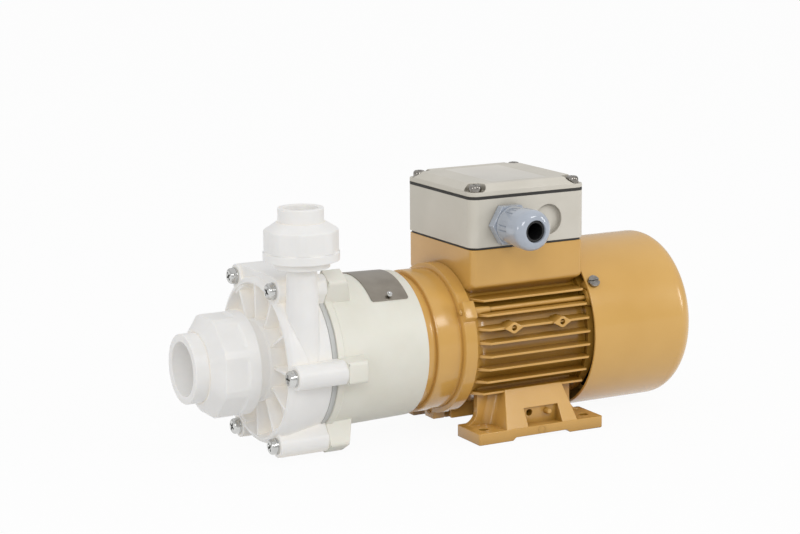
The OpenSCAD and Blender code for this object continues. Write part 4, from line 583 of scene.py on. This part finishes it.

# Pump casing
# The volute is moulded in natural polypropylene: a bulging barrel with a ribbed dish in front, long bosses
# for six screws and a tangential outlet that rises to the discharge union.
# Natural polypropylene: milky white with some light sinking in below the surface; a faint emission paints an
# even, warm glow over it, and a lighter, warmer colour is painted into its recesses as glow
natural_pp = finish("natural_polypropylene", ("#d2d1cf", "#d8d7d5"), patch=25, roughness=(0.36, 0.46),
                    grain=1.6, relief=0.02, painted_crevice_tone="#e8e2d7",
                    shader={"IOR": 1.49, "Subsurface Weight": 0.3, "Subsurface Scale": 0.003,
                            "Subsurface Radius": (1.0, 0.85, 0.65), "Emission Color": linear("#ecebea"),
                            "Emission Strength": 0.15})
RIM_X, DISH_X, HUB_R, SUCTION_SEAT = -164.5, -155.1, 24.5, -191.6
casing = bmesh.new()
turned(casing, [(CASING_REAR, 38.5), (CASING_REAR, 45.3), (-159.5, 49.7), (-161.4, 49.4), (-162.8, 48.7),
                (-163.7, 47.8), (-164.3, 46.9), (RIM_X, 46.2), (RIM_X, 45.5), (-157.1, 44.5), (-155.4, 43),
                (DISH_X, HUB_R), (RIM_X, HUB_R), (-165.5, 23.7), (SUCTION_SEAT, 23.7), (SUCTION_SEAT, 14),
                (-152.1, 14), (-152.1, 38.5)], steps=120)
rib = [(-0.9, 24), (0.9, 24), (0.9, 46), (-0.9, 46)]
for i in range(12):
    radial(casing, [rib], 30 * i, x=-163.6, depth=9)
BOSS_FRONT, BOSS_R = -163.5, 7
boss = [(6.4, 43.5)] + arc(0, SCREW_R, BOSS_R, -24, 204, 20) + [(-6.4, 43.5)]
for angle in SCREW_ANGLES:
    radial(casing, [boss], angle, x=BOSS_FRONT, depth=LANTERN_FRONT - BOSS_FRONT)
# A flat bridge joins the two upper bosses
bridge = [(-26.4, 42), (0, 46.3), (26.4, 42), (26.4, 52.8), (-26.4, 52.8)]
slab(casing, [bridge], (-161.5, 0, SHAFT_Z), (0, 1, 0), (0, 0, 1), (25.9, 0, 0))
# The outlet rises beside the barrel, and its foot is cut off inside the wall
OUTLET, UNION_Z = (-150.9, -37.5, 0), 132
pipe = turned(casing, [(60, 6.2), (60, 10.6), (70, 10.1), (115, 8.8), (116.4, 9.6), (116.4, 16.3),
                       (UNION_Z, 16.3), (UNION_Z, 6.2)], OUTLET, (0, 0, 1), 64)
lean = outward(25)
sawn(casing, pipe, Vector((0, 0, SHAFT_Z)) + lean * 40, -lean)
piece("casing_moulding", casing, "pump_casing", natural_pp, edge=0.6)
# Black rubber: matt
rubber = finish("matt_black_rubber", ("#2a2826", "#32302d"), patch=8, roughness=(0.6, 0.75), grain=0.8,
                relief=0.03)
dress(rubber, "casing_o_ring", "suction_o_ring", "discharge_o_ring")
dress(natural_pp, "impeller")
softened("casing_screws", stainless, edge=0.15)
softened("casing_washers", stainless, edge=0.15)

# Suction union
# A polypropylene tailpiece for a pipe of 32 mm is drawn against the casing neck by a loose nut with eight
# flats, a round collar behind and a cone in front.
SOCKET_R, TAIL_R, LIP_GAP = 16, 20.5, 0.06
tailpiece = bmesh.new()
turned(tailpiece, [(-210.1, SOCKET_R), (-210.1, TAIL_R), (-196.1, TAIL_R), (-196.1, 23.1),
                   (SUCTION_SEAT, 23.1), (SUCTION_SEAT, 14), (-193.6, 14), (-193.6, SOCKET_R)])
piece("suction_tailpiece_moulding", tailpiece, "suction_tailpiece", natural_pp, edge=0.5)


def flattened(verts, centre, axis, apothem, first, last):
    """Presses eight flats into the part of a turned nut between two distances along its axis."""
    centre, axis = Vector(centre), Vector(axis)
    near = Vector((0, -1, 0))
    for v in verts:
        along = (v.co - centre).dot(axis)
        out = v.co - centre - axis * along
        if first < along < last and out.length > apothem - 1:
            angle = out.angle(near) % (pi / 4)
            limit = apothem / cos(min(angle, pi / 4 - angle))
            v.co -= out * max(0, 1 - limit / out.length)


COLLAR_R = 30.5
nut = bmesh.new()
shell = turned(nut, [(-201.5, TAIL_R + LIP_GAP), (-201.5, 21.7), (-195, COLLAR_R), (-181.8, COLLAR_R),
                     (-180.4, COLLAR_R), (-173.3, COLLAR_R), (-173.3, 24), (-196.4, 24),
                     (-196.4, TAIL_R + LIP_GAP)])
flattened(shell, (0, 0, SHAFT_Z), (1, 0, 0), apothem=28.9, first=-196, last=-181)
piece("suction_nut_moulding", nut, "suction_union_nut", natural_pp, edge=0.45, crease=15)

# Discharge union
# The same in a smaller size, upright on the outlet: its tailpiece takes a pipe of 20 mm, and its loose nut
# has a wider collar at the foot, below the flats.
SOCKET_R, TAIL_R = 10, 13.2
tailpiece = bmesh.new()
turned(tailpiece, [(UNION_Z, 6.2), (UNION_Z, 15.7), (136.2, 15.7), (136.2, TAIL_R), (150.9, TAIL_R),
                   (150.9, SOCKET_R), (134, SOCKET_R), (134, 6.2)], OUTLET, (0, 0, 1))
piece("discharge_tailpiece_moulding", tailpiece, "discharge_tailpiece", natural_pp, edge=0.5)
nut = bmesh.new()
shell = turned(nut, [(120.7, 16.6), (120.7, 22), (125.7, 22), (125.9, 21.4), (138.2, 21.4), (142.7, 14.4),
                     (142.7, TAIL_R + LIP_GAP), (136.5, TAIL_R + LIP_GAP), (136.5, 16.6)], OUTLET, (0, 0, 1))
flattened(shell, OUTLET, (0, 0, 1), apothem=20.6, first=125.8, last=139)
piece("discharge_nut_moulding", nut, "discharge_union_nut", natural_pp, edge=0.45, crease=15)

# Terminal box
# A warm grey moulded box on a rubber gasket, with a second gasket under the lid, holds the terminals.
# Four screws in scooped corners hold the lid, which has a smooth inset panel in its middle.
# Moulded warm grey plastic: satin, with a fine spark-eroded grain and painted shade, darker, in its recesses
box_plastic = finish("moulded_warm_grey_plastic", ("#c6c1b5", "#cdc8bd"), patch=30, roughness=(0.36, 0.44),
                     grain=0.9, relief=0.02, painted_crevice_tone="#8f897d")
# Smooth warm grey plastic: the panel is the same plastic, polished finer and a little lighter
panel_plastic = finish("smooth_warm_grey_plastic", ("#d0cbc2", "#d5d1c8"), patch=30, roughness=(0.3, 0.36),
                       grain=2, relief=0.004)
dress(rubber, "pedestal_gasket", "lid_gasket")
dress(black_nylon, "terminal_block")
dress(brass, "terminal_studs")
dress(stainless, "box_screws")
BOX_FACE, ENTRY_Z = -40, 129.7
KNOCK_OUT_X, KNOCK_OUT_R, FLOOR_R = 12.65, 10.6, 9
box = copied("terminal_box")
for v in box.verts:
    # The knock-out is pressed in as far as the wall allows, and its flank is steep
    reach = hypot(v.co.x - KNOCK_OUT_X, v.co.z - ENTRY_Z)
    if v.co.y < BOX_FACE + 4 and reach < KNOCK_OUT_R:
        v.co.y = BOX_FACE + 1.4 * (v.co.y - BOX_FACE)
        if reach < FLOOR_R:
            v.co.x += 0.11 * (v.co.x - KNOCK_OUT_X)
            v.co.z += 0.11 * (v.co.z - ENTRY_Z)
piece("terminal_box_rounded", box, "terminal_box", box_plastic, edge=0.3, recalc=False)
LID_TOP, PANEL_ENDS, PANEL_SIDES = 153.9, (-20.2, 19.6), (-29.6, 30)
lid = copied("terminal_box_lid")
for x in PANEL_ENDS:
    sawn(lid, list(lid.verts), (x, 0, 0), (1, 0, 0), keep=True)
for y in PANEL_SIDES:
    sawn(lid, list(lid.verts), (0, y, 0), (0, 1, 0), keep=True)
lid.normal_update()
panel = [f for f in lid.faces if f.normal.z > 0.99 and f.calc_center_median().z > LID_TOP - 0.1
         and abs(f.calc_center_median().x) < 19 and abs(f.calc_center_median().y) < 29]
bmesh.ops.inset_region(lid, faces=panel, thickness=1, depth=-0.25)
for face in panel:
    face.material_index = 1
made = piece("terminal_box_lid_rounded", lid, "terminal_box_lid", box_plastic, edge=0.5, recalc=False)
made.data.materials.append(panel_plastic)
heads = copied("lid_screws")
for v in heads.verts:
    # The heads stand nearly as high as the lid
    v.co.z += 0.42 * max(0, v.co.z - 149.6)
piece("lid_screws_rounded", heads, "lid_screws", stainless_darkened_reflection, edge=0.15, recalc=False)

# Cable gland
# A polyamide gland in the near wall: a hexagon body, a rubber seal and a domed nut that squeezes it on the
# cable. The nut's barrel has pairs of grooves for grip.
# Polyamide: light blue-grey with a clean gloss
polyamide = finish("light_blue_grey_polyamide", ("#a0a7b2", "#a9b0bb"), patch=12, roughness=(0.1, 0.16),
                   grain=1.2, relief=0.004, shader={"Coat Weight": 0.6, "Coat Roughness": 0.05})
GLAND = Vector((-15.95, BOX_FACE, ENTRY_Z))
HEX_FLAT, HEX_ROUND = 11, 0.045
hexagon = copied("gland_body")
for v in hexagon.verts:
    # The corners of the hexagon are moulded round
    out = v.co - GLAND
    out.y = 0
    if out.length > HEX_FLAT:
        v.co -= out * HEX_ROUND
piece("gland_body_rounded", hexagon, "gland_body", polyamide, edge=0.4, recalc=False)
# Black sealing rubber: softer and blacker than the gaskets
seal_rubber = finish("soft_black_sealing_rubber", ("#0c0c0d", "#131314"), patch=8, roughness=(0.5, 0.65),
                     grain=0.8, relief=0.03)
dress(seal_rubber, "gland_seal")
GRIP_R, GROOVE, NUT_STEPS = 11.4, 0.7, 144
dome = bmesh.new()
shell = turned(dome, [(6.1, 10.3), (6.1, 10.8), (6.7, GRIP_R), (8.2, GRIP_R), (8.8, GRIP_R), (16.4, GRIP_R),
                      (17, GRIP_R), (18, GRIP_R), (18.9, 12.2)]
               + [(z, r) for r, z in arc(6.7, 26.6, 5.5, 0, 90, 12)]
               + [(31.8, 6.6), (31.2, 6.5), (24.1, 6.5), (24.1, 10.3)], GLAND, (0, -1, 0), NUT_STEPS)
for v in shell:
    # One pair of grooves every 60 degrees
    out = v.co - GLAND
    along, out.y = -out.y, 0
    step = round(degrees(Vector((0, 0, 1)).angle(out)) * NUT_STEPS / 360) % (NUT_STEPS // 6)
    if 8.5 < along < 16.7 and out.length > GRIP_R - 0.1 and step in (9, 15):
        v.co -= out.normalized() * GROOVE
piece("gland_nut_moulding", dome, "gland_nut", polyamide, edge=0)
